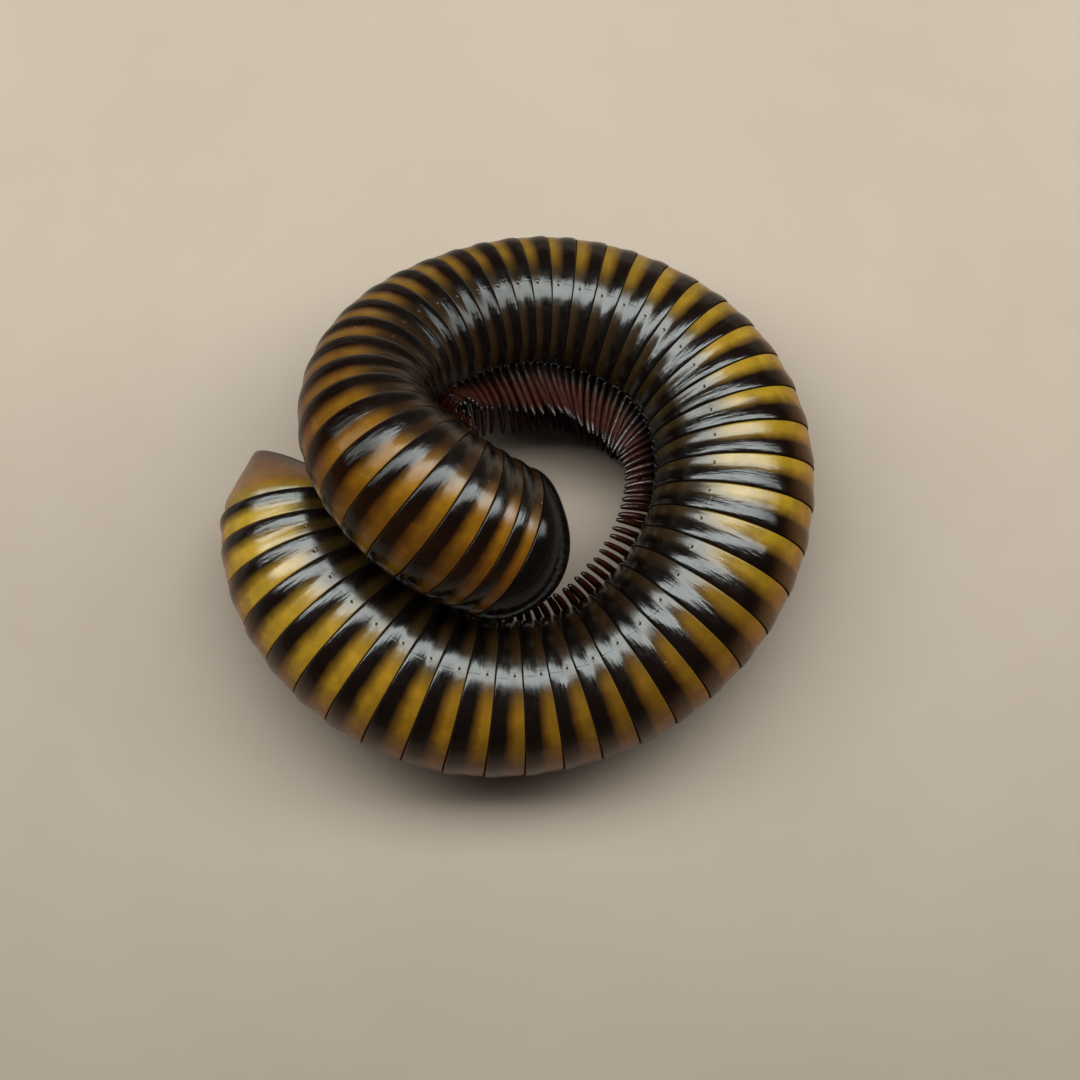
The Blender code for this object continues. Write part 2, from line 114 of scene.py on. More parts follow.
# Each row: ring number, how far the legs reach out from the belly in mm, their swing to the side in degrees
LEG_REACH = (
    (0, 1.6, 34), (6, 1.8, 34), (14, 1.9, 32), (18, 2.2, 22), (22, 2.6, 18), (25, 3.6, 17), (28, 5.2, 15),
    (35, 5.4, 15), (38, 3.8, 18), (41, 2.2, 18), (44, 1.5, 18), (50, 1.5, 20), (52, 1.3, 30))
# Each row: ring number, how far a leg's tip lies behind its root towards the tail, as a share of its reach
LEG_TRAIL = ((0, 0.33), (28, 0.33), (33, 0.28), (38, -0.40), (42, -0.50), (46, -0.10), (52, 0.10))

# Tail end, in mm behind the last ring's rear edge and towards the back: the line of the back and of the belly
TAIL_BACK_LINE = (
    (-0.5, 6.30), (0.4, 6.42), (1.3, 6.32), (2.4, 5.66),
    (3.55, 4.92), (4.7, 4.16), (5.45, 3.68), (5.85, 3.42))
TAIL_BELLY_LINE = (
    (-0.5, -6.30), (0.1, -6.20), (0.5, -5.95), (0.85, -5.60),
    (1.1, -5.25), (1.25, -4.95), (1.35, -4.65), (1.4, -4.4))
TAIL_HALF_WIDTH = (6.30, 6.42, 6.20, 5.70, 5.02, 4.25, 3.70, 3.35)
TAIL_SIDE_NOTCH = 0.40
TAIL_LIP = 0.16
# The lip round the valves and the hollow behind it, in lips: inward from the tail's edge, and out past it
TAIL_LIP_ROWS = ((0.4, 0.9), (0.8, 1.0), (1.3, 0.7), (1.7, 0.0), (2.0, -2.5), (8.0, -4.0))
TAIL_ROWS = 44
TAIL_SIDES = 160
VALVE_BULGE = 0.42
VALVE_MARGIN = 0.22
VALVE_SEAM_RIM = 0.16
VALVE_SEAM_RIM_PLACE = 0.22
VALVE_ROWS = 26
VALVE_SIDES = 72
VALVE_SEAM_GAP = 0.04
# The middle of a valve's bulge, as a share of its width
VALVE_CENTRE = 0.44
# Inside of a valve from its edge in: share of its outline, and depth in mm
VALVE_INSIDE = [(1.0, 1.2), (0.6, 1.6), (0.02, 1.6)]

# Collum: distance ahead of its rear edge, shift towards the belly, tilt in degrees, radius, in mm
COLLUM_PROFILE = (
    (0.0, 0.0, 0.0, 6.85), (0.6, 0.0, 2.0, 6.82), (1.45, 0.10, 8.0, 6.55),
    (2.2, 0.45, 18.0, 5.90), (2.75, 0.95, 30.0, 4.95), (3.0, 1.5, 40.0, 3.50))
# Each row: degrees round from the back, the collum's length there as a share of its length on the back
COLLUM_LENGTHS = ((0, 1.0), (50, 0.98), (75, 0.86), (95, 0.66), (112, 0.46), (124, 0.28), (132, 0.08))
COLLUM_THICKNESS = 0.28
COLLUM_ROWS = 190
COLLUM_EDGE_RIM = 0.035
# How the collum's outside rounds off into its edges: share of its length, depth in mm
COLLUM_ROUNDING = (
    (0, 0.13), (0.006, 0.05), (0.015, 0.015), (0.03, 0.0), (0.982, 0.0), (0.992, 0.04), (1.0, 0.13))
# The collum's points: shares of its length at its rear edge, from one to another in a count of steps, and at
# its front edge, and the count on its inside
COLLUM_REAR_SHARES = (0, 0.006, 0.015, 0.03, 0.05, 0.075, 0.1)
COLLUM_BETWEEN = (0.13, 0.94, 44)
COLLUM_FRONT_SHARES = (0.955, 0.97, 0.982, 0.992, 1.0)
COLLUM_INSIDE = 22
COLLUM_RIM_GROOVES = (0.055, 0.955)
# The skin between the collum and the head, in mm: its radius, its depth and its place ahead
NECK_SKIN = (6.34, 1.5, -0.5)

# Points round and from end to end of the rounded pieces
NECK_GRID = (90, 60)
HEAD_GRID = (150, 110)
EYE_GRID = (40, 24)
LENS_GRID = (12, 9)
MANDIBLE_GRID = (64, 48)
CHIN_GRID = (96, 72)
KNUCKLE_GRID = (24, 16)

# Head, in mm: forward of the collum's rear edge, then towards the belly
HEAD_CENTRE = (2.7, 3.9)
HEAD_TILT = 96.0
# Radii in mm across, out of the face and down the face, and places as across, out of the face and down
HEAD_RADII = (4.2, 2.65, 4.5)
MUZZLE_CENTRE = (0.0, 0.3, 2.7)
MUZZLE_RADII = (2.9, 1.9, 2.6)
MUZZLE_BLEND = 9.0
EYE_RADII = (0.55, 1.05, 0.85)
EYE_TURN = 58.0
EYE_RISE = 1.2
EYE_DEPTH = 0.93
EYE_FLATNESS = 0.86
OCELLUS_RADIUS = 0.105
LENS_FLATNESS = 0.8
LENS_ROWS = 7
LENS_ROW_STEP = 0.215
LONGEST_LENS_ROW = 8
LENS_STEP = 0.235
LENS_STAGGER = 0.04
MANDIBLE_CENTRE = (3.0, -0.6, 2.3)
MANDIBLE_RADII = (1.2, 1.05, 2.0)
MANDIBLE_LINE_DEPTH = 0.07
CHIN_CENTRE = (0.0, -1.85, 1.6)
CHIN_RADII = (2.2, 0.75, 2.4)
CHIN_LINE_DEPTH = 0.09
ANTENNA_SOCKET = (1.75, 2.42, -0.55)
ANTENNA_BASE = (1.75, 3.16, -0.5)
# How an antenna heads at its base, and its turn from each segment to the next: outward, out of the face, down
ANTENNA_HEADING = (0.10, 0.10, 0.87)
ANTENNA_TURN = (0.0, -0.15, 0.08)
# Antenna segments: length and radius in mm
ANTENNA_SEGMENTS = (
    (0.9, 0.42), (1.3, 0.45), (1.2, 0.44), (1.1, 0.45), (1.0, 0.46), (0.8, 0.40), (0.35, 0.25))
# A segment's outline: share of its length, share of its radius
ANTENNA_OUTLINE = ((0.0, 0.48), (0.03, 0.56), (0.12, 0.66), (0.30, 0.80), (0.55, 0.94), (0.76, 1.0),
                   (0.90, 0.97), (0.97, 0.86), (1.0, 0.62))
ANTENNA_KNUCKLE = (0.36, 0.56, 0.36)
ANTENNA_SIDES = 24
BRISTLES_PER_SEGMENT = 16
BRISTLE_LENGTH = 0.34
# A bristle's outline: share of its length, radius in mm
BRISTLE_OUTLINE = ((0.0, 0.016), (0.5, 0.010), (1.0, 0.003))
# Angles of its corners, in radians
BRISTLE_CORNERS = (0.0, 2.1, 4.2)
# Pits over the mouth: across and down, in mm
LIP_PITS = ((0.55, 2.6), (1.35, 2.7), (2.0, 2.35))
# Relief of the face, in mm
LIP_PIT_DEPTH = 0.09
LIP_LINE_PLACE = 3.35
LIP_LINE_DEPTH = 0.07
NOTCH_DEPTH = 0.35
TEETH = (-0.3, 0, 0.3)
TOOTH_HEIGHT = 0.16
SOCKET_RADIUS = 0.62
SOCKET_RIM = 0.10
SOCKET_DEPTH = 0.28

# Camera and light
CAMERA_PLACE = (1.96 * MM, -41.60 * MM, 199.23 * MM)
CAMERA_TILT = 11.20
CAMERA_LENS = 73.33
CAMERA_SENSOR = 36.0
CAMERA_CLIP = (0.005, 10.0)
# A long softbox across the picture, above and a little behind the animal, facing straight down
SOFTBOX_PLACE = (0, 61 * MM, 187 * MM)
SOFTBOX_SIZE = (800 * MM, 98 * MM)
SOFTBOX_RADIANCE = 8.5
SOFTBOX_COLOUR = (0.92, 1.0, 0.97)
# Light of the surroundings: towards the horizon, and from this height up to overhead
HORIZON_LIGHT = (0.24, 0.18, 0.13)
OVERHEAD_LIGHT = (0.06, 0.055, 0.05)
OVERHEAD_HEIGHT = 0.22
FLOOR_HALF = 1.5

RING_SEED = 11
LEG_SEED = 23
ANTENNA_SEED = 5


def linear(colour):
    """An sRGB colour from 0 to 255 as linear numbers with full opacity."""
    parts = np.array(colour) / 255
    straight = np.where(parts <= 0.04045, parts / 12.92, ((parts + 0.055) / 1.055) ** 2.4)
    return (*straight.tolist(), 1.0)


def smooth_step(value, low, high):
    """0 below low, 1 above high and a soft rise between them."""
    share = np.clip((value - low) / (high - low), 0, 1)
    return share * share * (3 - 2 * share)


def bell(value, width):
    return np.exp(-((value / width) ** 2))


def full_turn(count):
    """Evenly spaced angles once round, in radians."""
    return 2 * np.pi * np.arange(count) / count


def unit(vectors):
    return vectors / np.linalg.norm(vectors, axis=-1, keepdims=True)


# The body's axis


def natural_spline(knots, values):
    """The cubic curve through values at knots, as a function of many places along it."""
    knots = np.asarray(knots, float)
    values = np.asarray(values, float)
    steps = np.diff(knots)
    count = len(knots)
    system = np.eye(count)
    target = np.zeros_like(values)
    for i in range(1, count - 1):
        system[i, i - 1] = steps[i - 1]
        system[i, i] = 2 * (steps[i - 1] + steps[i])
        system[i, i + 1] = steps[i]
        target[i] = 6 * ((values[i + 1] - values[i]) / steps[i] - (values[i] - values[i - 1]) / steps[i - 1])
    bend = np.linalg.solve(system, target)

    def at(places):
        places = np.atleast_1d(np.asarray(places, float))
        i = np.clip(np.searchsorted(knots, places) - 1, 0, count - 2)
        step = steps[i][:, None]
        after = (places - knots[i])[:, None]
        before = (knots[i + 1] - places)[:, None]
        return (
            bend[i] * before**3 / (6 * step)
            + bend[i + 1] * after**3 / (6 * step)
            + (values[i] / step - bend[i] * step / 6) * before
            + (values[i + 1] / step - bend[i + 1] * step / 6) * after
        )

    return at


STATION_RINGS = [row[0] for row in BODY_STATIONS]
PATH = natural_spline(STATION_RINGS, [[value * MM for value in row[1:4]] for row in BODY_STATIONS])
RADIUS = natural_spline(STATION_RINGS, [[row[4] * MM] for row in BODY_STATIONS])


def axis_points(places):
    """The body's axis at ring numbers, as the frame's solids have it."""
    found = PATH(places)
    rest = RADIUS(places)[:, 0] * math.cos(math.pi / SOLID_SIDES) - FLOOR_PRESS
    return np.column_stack([found[:, 0], found[:, 1], rest + np.maximum(found[:, 2], 0)])


def table_values(table, places, column=1):
    return np.interp(places, [row[0] for row in table], [row[column] for row in table])


class Sections:
    """Places along the axis with their radius and their directions: ahead, back and left side."""

    def __init__(self, places):
        probe = 0.02
        places = np.atleast_1d(np.asarray(places, float))
        ends = [axis_points(np.clip(places + step, 0, RING_COUNT)) for step in (-probe, probe)]
        over = np.clip(places, 0, RING_COUNT)
        self.ahead = unit(ends[1] - ends[0])
        self.origin = axis_points(over) + self.ahead * ((places - over) * self.spacing(over))[:, None]
        self.radius = RADIUS(over)[:, 0]
        out = unit(np.cross(self.ahead, (0, 0, 1)))
        up = unit(np.cross(out, self.ahead))
        lean = np.radians(table_values(BACK_LEAN, places))[:, None]
        self.back = out * np.cos(lean) + up * np.sin(lean)
        self.side = unit(np.cross(self.back, self.ahead))

    @staticmethod
    def spacing(places):
        """Metres of axis per ring."""
        probe = 0.05
        low = np.clip(places - probe, 0, RING_COUNT)
        high = np.clip(places + probe, 0, RING_COUNT)
        return np.linalg.norm(axis_points(high) - axis_points(low), axis=1) / (high - low)


# Meshes


class Surface:
    """Closed shapes gathered into one mesh, with named numbers at each point."""

    def __init__(self):
        self.points = []
        self.faces = []
        self.numbers = {}
        self.count = 0

    def add(self, points, faces, **numbers):
        """Adds one closed shape and turns its faces outward."""
        if signed_volume(points, faces) < 0:
            faces = [face[::-1] for face in faces]
        self.faces += [[corner + self.count for corner in face] for face in faces]
        self.points.append(points)
        self.count += len(points)
        for name, values in numbers.items():
            values = np.broadcast_to(np.asarray(values, float), (len(points),))
            self.numbers.setdefault(name, []).append(values)

    def add_tube(self, grid, **numbers):
        self.add(*capped_tube(grid), **numbers)

    def build(self, name, material, node_names):
        mesh = bpy.data.meshes.new(name)
        mesh.from_pydata(np.concatenate(self.points).tolist(), [], self.faces)
        for title, values in self.numbers.items():
            layer = mesh.attributes.new(title, "FLOAT", "POINT")
            layer.data.foreach_set("value", np.concatenate(values).astype(np.float32))
        mesh.shade_smooth()
        mesh.materials.append(material)
        mesh.update()
        piece = bpy.data.objects.new(name, mesh)
        bpy.context.scene.collection.objects.link(piece)
        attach(piece, "root")
        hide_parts(*node_names)


def signed_volume(points, faces):
    """Six times the volume that the faces enclose, less than 0 where they face inward."""
    total = 0.0
    for size in {len(face) for face in faces}:
        corners = np.array([face for face in faces if len(face) == size])
        for second in range(1, size - 1):
            crossed = np.cross(points[corners[:, second]], points[corners[:, second + 1]])
            total += float(np.einsum("ij,ij->", points[corners[:, 0]], crossed))
    return total


def grid_faces(rows, columns, wrap_rows=False):
    """Four-cornered faces of a grid of points whose columns, and rows where asked, join end to end."""
    row, column = np.meshgrid(np.arange(rows if wrap_rows else rows - 1), np.arange(columns), indexing="ij")
    next_row = (row + 1) % rows
    next_column = (column + 1) % columns
    corners = (row * columns + column, row * columns + next_column,
               next_row * columns + next_column, next_row * columns + column)
    return np.stack(corners, -1).reshape(-1, 4).tolist()


def capped_tube(grid):
    """Points and faces of a tube of rings, each end closed by a point at its middle."""
    rows, columns = grid.shape[:2]
    points = np.concatenate([grid.reshape(-1, 3), grid[:1].mean(1), grid[-1:].mean(1)])
    faces = grid_faces(rows, columns)
    start = rows * columns
    last = (rows - 1) * columns
    for i in range(columns):
        j = (i + 1) % columns
        faces.append([start, j, i])
        faces.append([start + 1, last + i, last + j])
    return points, faces


def spread(values, columns):
    """One number per row of a capped tube as one per point."""
    values = np.asarray(values, float)
    return np.concatenate([np.repeat(values, columns), values[:1], values[-1:]])


def per_point(grid, ends):
    """Numbers on the grid of a capped tube and at its two end points."""
    return np.concatenate([grid.ravel(), ends])


# Trunk rings


def body_lengths():
    """The lengths of trunk with their numbers and the rings that they start and end at."""
    return enumerate(zip(LENGTH_STARTS, (*LENGTH_STARTS[1:], RING_COUNT)), 1)


def round_angles():
    """Angles round a ring, closest together at the pores."""
    half = [0.0]
    for end, step in ROUND_STEPS:
        count = round((end - half[-1]) / step)
        half += list(np.linspace(half[-1], end, count + 1)[1:])
    half = np.array(half)
    return np.concatenate([half, -half[-2:0:-1]])


def ring_shell(surface, ring, angles, random):
    """One closed ring of cuticle: its outside from the rear edge to the front, and its inside back."""
    profile = np.array(RING_OUTSIDE + RING_INSIDE)
    outside = np.arange(len(profile)) < len(RING_OUTSIDE)
    sections = Sections(ring + profile[:, 0])
    turn = np.radians(angles)
    direction = (sections.back[:, None] * np.cos(turn)[None, :, None]
                 + sections.side[:, None] * np.sin(turn)[None, :, None])
    wide = sections.radius[:, None] * np.ones(len(angles))
    along = profile[:, 0][:, None] * np.ones(len(angles))
    relief, pore = ring_relief(ring, along, np.abs(angles)[None, :], wide, random)
    reach = wide * profile[:, 1][:, None] + relief * outside[:, None]
    points = sections.origin[:, None] + direction * reach[..., None]
    points[..., 2] = np.maximum(points[..., 2], FLOOR_CLEARANCE)
    faces = grid_faces(len(profile), len(angles), wrap_rows=True)
    surface.add(points.reshape(-1, 3), faces, along=along.ravel(),
                around=np.broadcast_to(np.abs(angles) / 180, along.shape).ravel(),
                ring=ring / RING_COUNT, tone=random.random(), pore=pore.ravel())


def ring_relief(ring, along, angle, radius, random):
    """Height of a ring's fine relief, and the distance to the nearest pore in mm."""
    spacing = Sections.spacing(np.array([ring + PORE_PLACE]))[0]
    step_along = (along - PORE_PLACE) * spacing
    step_round = np.radians(angle - 90) * radius
    distance = np.hypot(step_along, step_round)
    relief = np.zeros_like(along)
    if PORE_FIRST_RING <= ring <= PORE_LAST_RING:
        relief -= PORE_DEPTH * bell(distance, PORE_RADIUS)
        relief += PORE_RIM_HEIGHT * bell(distance - PORE_RIM_RADIUS, 0.4 * PORE_RIM_RADIUS)
    else:
        distance = distance + 1.0
    rear = 1 - smooth_step(along, 0.44, 0.50)
    drift = random.uniform(-1.2, 1.2)
    relief -= GROOVE_DEPTH * rear * bell(angle - GROOVE_ANGLE - drift, GROOVE_HALF_WIDTH)
    phase = (angle - STRIAE_FROM) / STRIAE_STEP + random.uniform(0, 0.3)
    inside = smooth_step(angle, STRIAE_FROM - 2, STRIAE_FROM + 4)
    inside = inside * (1 - smooth_step(angle, STRIAE_TO - 3, STRIAE_TO))
    relief -= STRIAE_DEPTH * rear * inside * np.abs(np.cos(np.pi * phase)) ** 6
    belly = smooth_step(angle, 160, 168)
    plate = np.abs(np.cos(2 * np.pi * along)) ** 8
    relief -= belly * (BELLY_HOLLOW + BELLY_PLATE_LINE * plate)
    relief += RING_RIPPLE * np.sin(along * 9 + ring * 2.1 + angle * 0.05)
    return relief, distance / MM


def build_rings(material):
    random = np.random.default_rng(RING_SEED)
    angles = round_angles()
    for number, (first, after) in body_lengths():
        surface = Surface()
        for ring in range(first, after):
            ring_shell(surface, ring, angles, random)
        surface.build(f"rings_{number:02d}", material, [f"trunk_{number:02d}"])


# Legs


def leg_outline():
    """Rows down a leg: share of its length and half width in mm, with a fine groove at each joint."""
    rows = []
    start = 0.0
    for share, wide_start, wide_end in LEG_SEGMENTS:
        for part, pinch in LEG_SEGMENT_ROWS:
            wide = wide_start + (wide_end - wide_start) * part
            rows.append((start + share * part, wide * pinch))
        start += share
    return np.array(rows)


def add_leg(surface, place, sign, reach, swing, trail, size, tone):
    """One leg from inside the belly to the claw."""
    rise, wide = leg_outline().T
    sections = Sections(np.full(len(rise), place))
    angle = np.radians(LEG_ROOT_ANGLE + (swing - LEG_ROOT_ANGLE) * table_values(LEG_COURSE, rise, 2))
    direction = sections.side * (sign * np.sin(angle))[:, None] - sections.back * np.cos(angle)[:, None]
    far = sections.radius * table_values(LEG_DEPTH, rise) + reach * table_values(LEG_COURSE, rise)
    centre = sections.origin + direction * far[:, None] - sections.ahead * (trail * rise**1.6)[:, None]
    heading = unit(np.gradient(centre, axis=0))
    across = unit(np.cross(heading, sections.ahead))
    fore = unit(np.cross(across, heading))
    turn = full_turn(LEG_SIDES)
    wide = (wide * MM * size)[:, None, None]
    grid = centre[:, None] + wide * (across[:, None] * np.cos(turn)[None, :, None]
                                     + fore[:, None] * (LEG_FLATNESS * np.sin(turn))[None, :, None])
    grid[..., 2] = np.maximum(grid[..., 2], FLOOR_CLEARANCE)
    surface.add_tube(grid, along=spread(rise, LEG_SIDES), tone=tone)


def build_legs(material):
    random = np.random.default_rng(LEG_SEED)
    for number, (first, after) in body_lengths():
        surface = Surface()
        for ring in range(max(first, LEGLESS_TAIL_RINGS), after):
            single = ring >= RING_COUNT - FRONT_RINGS_WITH_ONE_PAIR
            for order, part in enumerate((0.5,) if single else LEG_PAIR_PLACES):
                add_pair(surface, ring, part, order, random)
        surface.build(f"legs_{number:02d}", material, [f"trunk_{number:02d}"])


def add_pair(surface, ring, part, order, random):
    place = ring + part
    crowded = CROWDED_RINGS[0] <= ring < CROWDED_RINGS[1]
    reach = float(table_values(LEG_REACH, place, 1)) * MM
    swing = float(table_values(LEG_REACH, place, 2))
    size = CROWDED_LEG_SIZE if crowded else 0.92 + 0.08 * math.sin(ring)
    for sign in (-1, 1):
        own_swing = swing + random.uniform(-3, 3) + (CROWDED_LEG_SPREAD * order if crowded else 0)
        trail = float(table_values(LEG_TRAIL, place)) * reach * random.uniform(0.85, 1.1)
        own_reach = reach * random.uniform(0.93, 1.0)
        add_leg(surface, place, sign, own_reach, own_swing, trail, size, random.random())


# Tail end


def tail_axes():
    sections = Sections([0.0])
    return sections.origin[0], -sections.ahead[0], sections.back[0], sections.side[0]


def tail_point(behind, back, side):
    """World place of a point given in mm behind the last ring, towards the back and to the left."""
    origin, to_rear, to_back, to_side = tail_axes()
    behind, back, side = (np.asarray(value, float)[..., None] * MM for value in (behind, back, side))
    return origin + to_rear * behind + to_back * back + to_side * side


def tail_section(on_back, on_belly, half_width, turn):
    """An oval between a point of the back's line and one of the belly's line."""
    middle = (on_back + on_belly) / 2
    arm = (on_back - on_belly) / 2
    slope = 1 - abs(unit(arm)[1])
    behind = middle[0] + arm[0] * np.cos(turn) - TAIL_SIDE_NOTCH * slope * np.sin(turn) ** 2
    back = middle[1] + arm[1] * np.cos(turn)
    return behind, back, half_width * np.sin(turn)


def build_telson(material):
    lines = np.column_stack([TAIL_BACK_LINE, TAIL_BELLY_LINE, TAIL_HALF_WIDTH])
    turn = full_turn(TAIL_SIDES)
    along = np.linspace(0, 1, TAIL_ROWS)
    rows = natural_spline(np.arange(len(lines)), lines)(along * (len(lines) - 1))
    grid = [tail_point(*tail_section(row[:2], row[2:4], row[4], turn)) for row in rows]
    margin_back, margin_belly, margin_width = rows[-1, :2], rows[-1, 2:4], rows[-1, 4]
    facing = unit(np.array([margin_back[1] - margin_belly[1], margin_belly[0] - margin_back[0]]))
    for inward, push in TAIL_LIP_ROWS:
        shrink = inward * TAIL_LIP
        middle = (margin_back + margin_belly) / 2 + facing * (push * TAIL_LIP)
        arm = (margin_back - margin_belly) / 2
        arm = arm * (1 - shrink / np.linalg.norm(arm))
        grid.append(tail_point(*tail_section(middle + arm, middle - arm, margin_width - shrink, turn)))
    grid = np.array(grid)
    grid[..., 2] = np.maximum(grid[..., 2], FLOOR_CLEARANCE)
    along = np.concatenate([along, np.ones(len(TAIL_LIP_ROWS))])
    around = np.broadcast_to(1 - np.abs(turn / np.pi - 1), grid.shape[:2])
    surface = Surface()
    surface.add_tube(grid, along=spread(along, TAIL_SIDES), around=per_point(around, (0.5, 0.5)))
    surface.build("preanal_ring", material, ["telson"])
    return margin_back, margin_belly, margin_width, facing


def build_valve(name, sign, material, margin_back, margin_belly, margin_width, facing):
    """One half of the oval lid behind the tail, bulging, with a raised rim along the middle seam."""
    middle = (margin_back + margin_belly) / 2
    arm = (margin_back - margin_belly) / 2
    length = np.linalg.norm(arm) - VALVE_MARGIN
    width = margin_width - VALVE_MARGIN
    arm = unit(arm)
    turn = full_turn(VALVE_SIDES)
    edge_side = np.maximum(np.sin(turn) * width, VALVE_SEAM_GAP)
    outside = [(share, 0) for share in np.linspace(0.02, 1, VALVE_ROWS)]
    share, depth = np.array(outside + VALVE_INSIDE).T[..., None]
    along = length * np.cos(turn) * share
    side = width * VALVE_CENTRE * (1 - share) + edge_side * share
    inner = np.sqrt(np.clip(1 - (along / (length * 1.02)) ** 2 - (side / (width * 1.04)) ** 2, 0, 1))
    seam_rim = bell(side - VALVE_SEAM_RIM_PLACE, 0.20) * smooth_step(inner, 0.05, 0.5)
    height = (VALVE_BULGE * inner**0.8 + VALVE_SEAM_RIM * seam_rim) * smooth_step(1 - share, -0.02, 0.06)
    height = np.where(depth > 0, -depth, height)
    behind, back = (middle[i] + arm[i] * along + facing[i] * height for i in (0, 1))
    across = np.clip(side / width, 0, 1)
    across[VALVE_ROWS:] = across[VALVE_ROWS - 1]
    surface = Surface()
    surface.add_tube(tail_point(behind, back, sign * side), across=per_point(across, (0.5, 0.5)))
    surface.build(name, material, [name])


# Collum and head


def neck_frame():
    sections = Sections([float(RING_COUNT)])
    return sections.origin[0], sections.ahead[0], -sections.back[0], sections.side[0]


def collum_point(neck, curve, step, turn, depth):
    """A point of the collum: a step along its profile, round from the back and below its surface in mm."""
    origin, ahead, belly, side = neck
    distance, shift, tilt, radius = curve(step)[0]
    angle = math.radians(tilt)
    centre = origin + ahead * (distance * MM) + belly * (shift * MM)
    upright = -belly * math.cos(angle) + ahead * math.sin(angle)
    return centre + (upright * math.cos(turn) + side * math.sin(turn)) * ((radius - depth) * MM)


def build_collum(material):
    """The smooth shield behind the head: a shell with a rim round its edge, and the neck's skin under it."""
    neck = neck_frame()
    curve = natural_spline(np.arange(len(COLLUM_PROFILE)), COLLUM_PROFILE)
    last = len(COLLUM_PROFILE) - 1
    limit = COLLUM_LENGTHS[-1][0]
    outer = np.concatenate([COLLUM_REAR_SHARES, np.linspace(*COLLUM_BETWEEN), COLLUM_FRONT_SHARES])
    shares = np.concatenate([outer, np.linspace(1.0, 0.0, COLLUM_INSIDE)])
    grooves = COLLUM_EDGE_RIM * sum(bell(outer - place, 0.012) for place in COLLUM_RIM_GROOVES)
    below = np.concatenate([table_values(COLLUM_ROUNDING, outer) + grooves,
                            np.full(COLLUM_INSIDE, COLLUM_THICKNESS)])
    grid = []
    along = []
    for degrees in np.linspace(-limit, limit, COLLUM_ROWS):
        length = float(table_values(COLLUM_LENGTHS, abs(degrees)))
        thin = 0.25 + 0.75 * float(smooth_step(limit - abs(degrees), 0, 10))
        grid.append([collum_point(neck, curve, share * length * last, math.radians(degrees), depth * thin)
                     for share, depth in zip(shares, below)])
        along.append(length * shares)
    surface = Surface()
    surface.add_tube(np.array(grid), along=per_point(np.array(along), (0.0, 0.0)))
    origin, ahead, belly, side = neck
    radius, depth, place = NECK_SKIN
    local = ball_directions(*NECK_GRID) * (radius, radius, depth) + (0, 0, place)
    local[..., 2] += 0.05 * np.sin(np.hypot(local[..., 0], local[..., 1]) * 9)
    surface.add_tube(origin + local @ np.array([side, belly, ahead]) * MM, along=1.0)
    surface.build("collum_shield", material, ["collum"])


def head_axes():
    """Origin and directions of the head: across, out of the face, and down the face."""
    origin, ahead, belly, side = neck_frame()
    angle = math.radians(HEAD_TILT)
    down = ahead * math.cos(angle) + belly * math.sin(angle)
    face = ahead * math.sin(angle) - belly * math.cos(angle)
    centre = origin + ahead * (HEAD_CENTRE[0] * MM) + belly * (HEAD_CENTRE[1] * MM)
    return centre, np.array([side, face, down])


def head_place(local):
    """World place of head coordinates in mm: across, forward and down."""
    centre, axes = head_axes()
    return centre + np.asarray(local, float) @ axes * MM


def ball_directions(around, along):
    """Unit directions of a ball's grid, poles on the last axis, without the poles themselves."""
    polar = np.linspace(0.02, math.pi - 0.02, along)
    turn = full_turn(around)
    flat = np.sin(polar)[:, None]
    return np.stack([flat * np.cos(turn), flat * np.sin(turn), np.cos(polar)[:, None] * np.ones(around)], -1)


def far_hit(direction, centre, radii):
    """How far along directions from the middle an egg shape's far side lies, or 0 where it is missed."""
    scaled = direction / np.asarray(radii)
    offset = np.asarray(centre) / np.asarray(radii)
    a = (scaled**2).sum(-1)
    b = -2 * (scaled @ offset)
    c = (offset**2).sum() - 1
    root = b * b - 4 * a * c
    return np.where(root > 0, (-b + np.sqrt(np.maximum(root, 0))) / (2 * a), 0.0)


def build_head(material):
    direction = ball_directions(*HEAD_GRID)
    base = far_hit(direction, (0, 0, 0), HEAD_RADII)
    muzzle = far_hit(direction, MUZZLE_CENTRE, MUZZLE_RADII)
    reach = np.log(np.exp(MUZZLE_BLEND * base) + np.exp(MUZZLE_BLEND * muzzle)) / MUZZLE_BLEND
    reach = np.maximum(reach - math.log(2) / MUZZLE_BLEND * bell(base - muzzle, 0.2), base * 0.98)
    local = direction * reach[..., None]
    across, forward, down = local[..., 0], local[..., 1], local[..., 2]
    front = smooth_step(forward, 0.0, 0.8)
    height = -0.06 * bell(across, 0.07) * front * smooth_step(-down, 0.2, 1.0)
    for sign in (-1, 1):
        socket = np.linalg.norm(local - np.array([sign * ANTENNA_SOCKET[0], *ANTENNA_SOCKET[1:]]), axis=-1)
        height += SOCKET_RIM * bell(socket - SOCKET_RADIUS, 0.16) - SOCKET_DEPTH * bell(socket, 0.42)
        for pit_across, pit_down in LIP_PITS:
            spot = np.hypot(across - sign * pit_across, down - pit_down)
            height -= LIP_PIT_DEPTH * bell(spot, 0.10) * front
    height -= LIP_LINE_DEPTH * bell(down - LIP_LINE_PLACE + 0.05 * across**2, 0.07) * front
    notch = bell(across, 0.55) * smooth_step(down, 3.9, 4.5) * front
    teeth = sum(bell(across - place, 0.10) for place in TEETH)
    height += (TOOTH_HEIGHT * teeth - NOTCH_DEPTH) * notch
    height += 0.012 * np.sin(across * 5 + down * 3) * np.sin(down * 4 - forward * 3)
    local = local + direction * height[..., None]
    surface = Surface()
    surface.add_tube(head_place(local), down=per_point(local[..., 2] / 5, (-0.8, 0.92)))
    surface.build("head_capsule", material, ["head"])


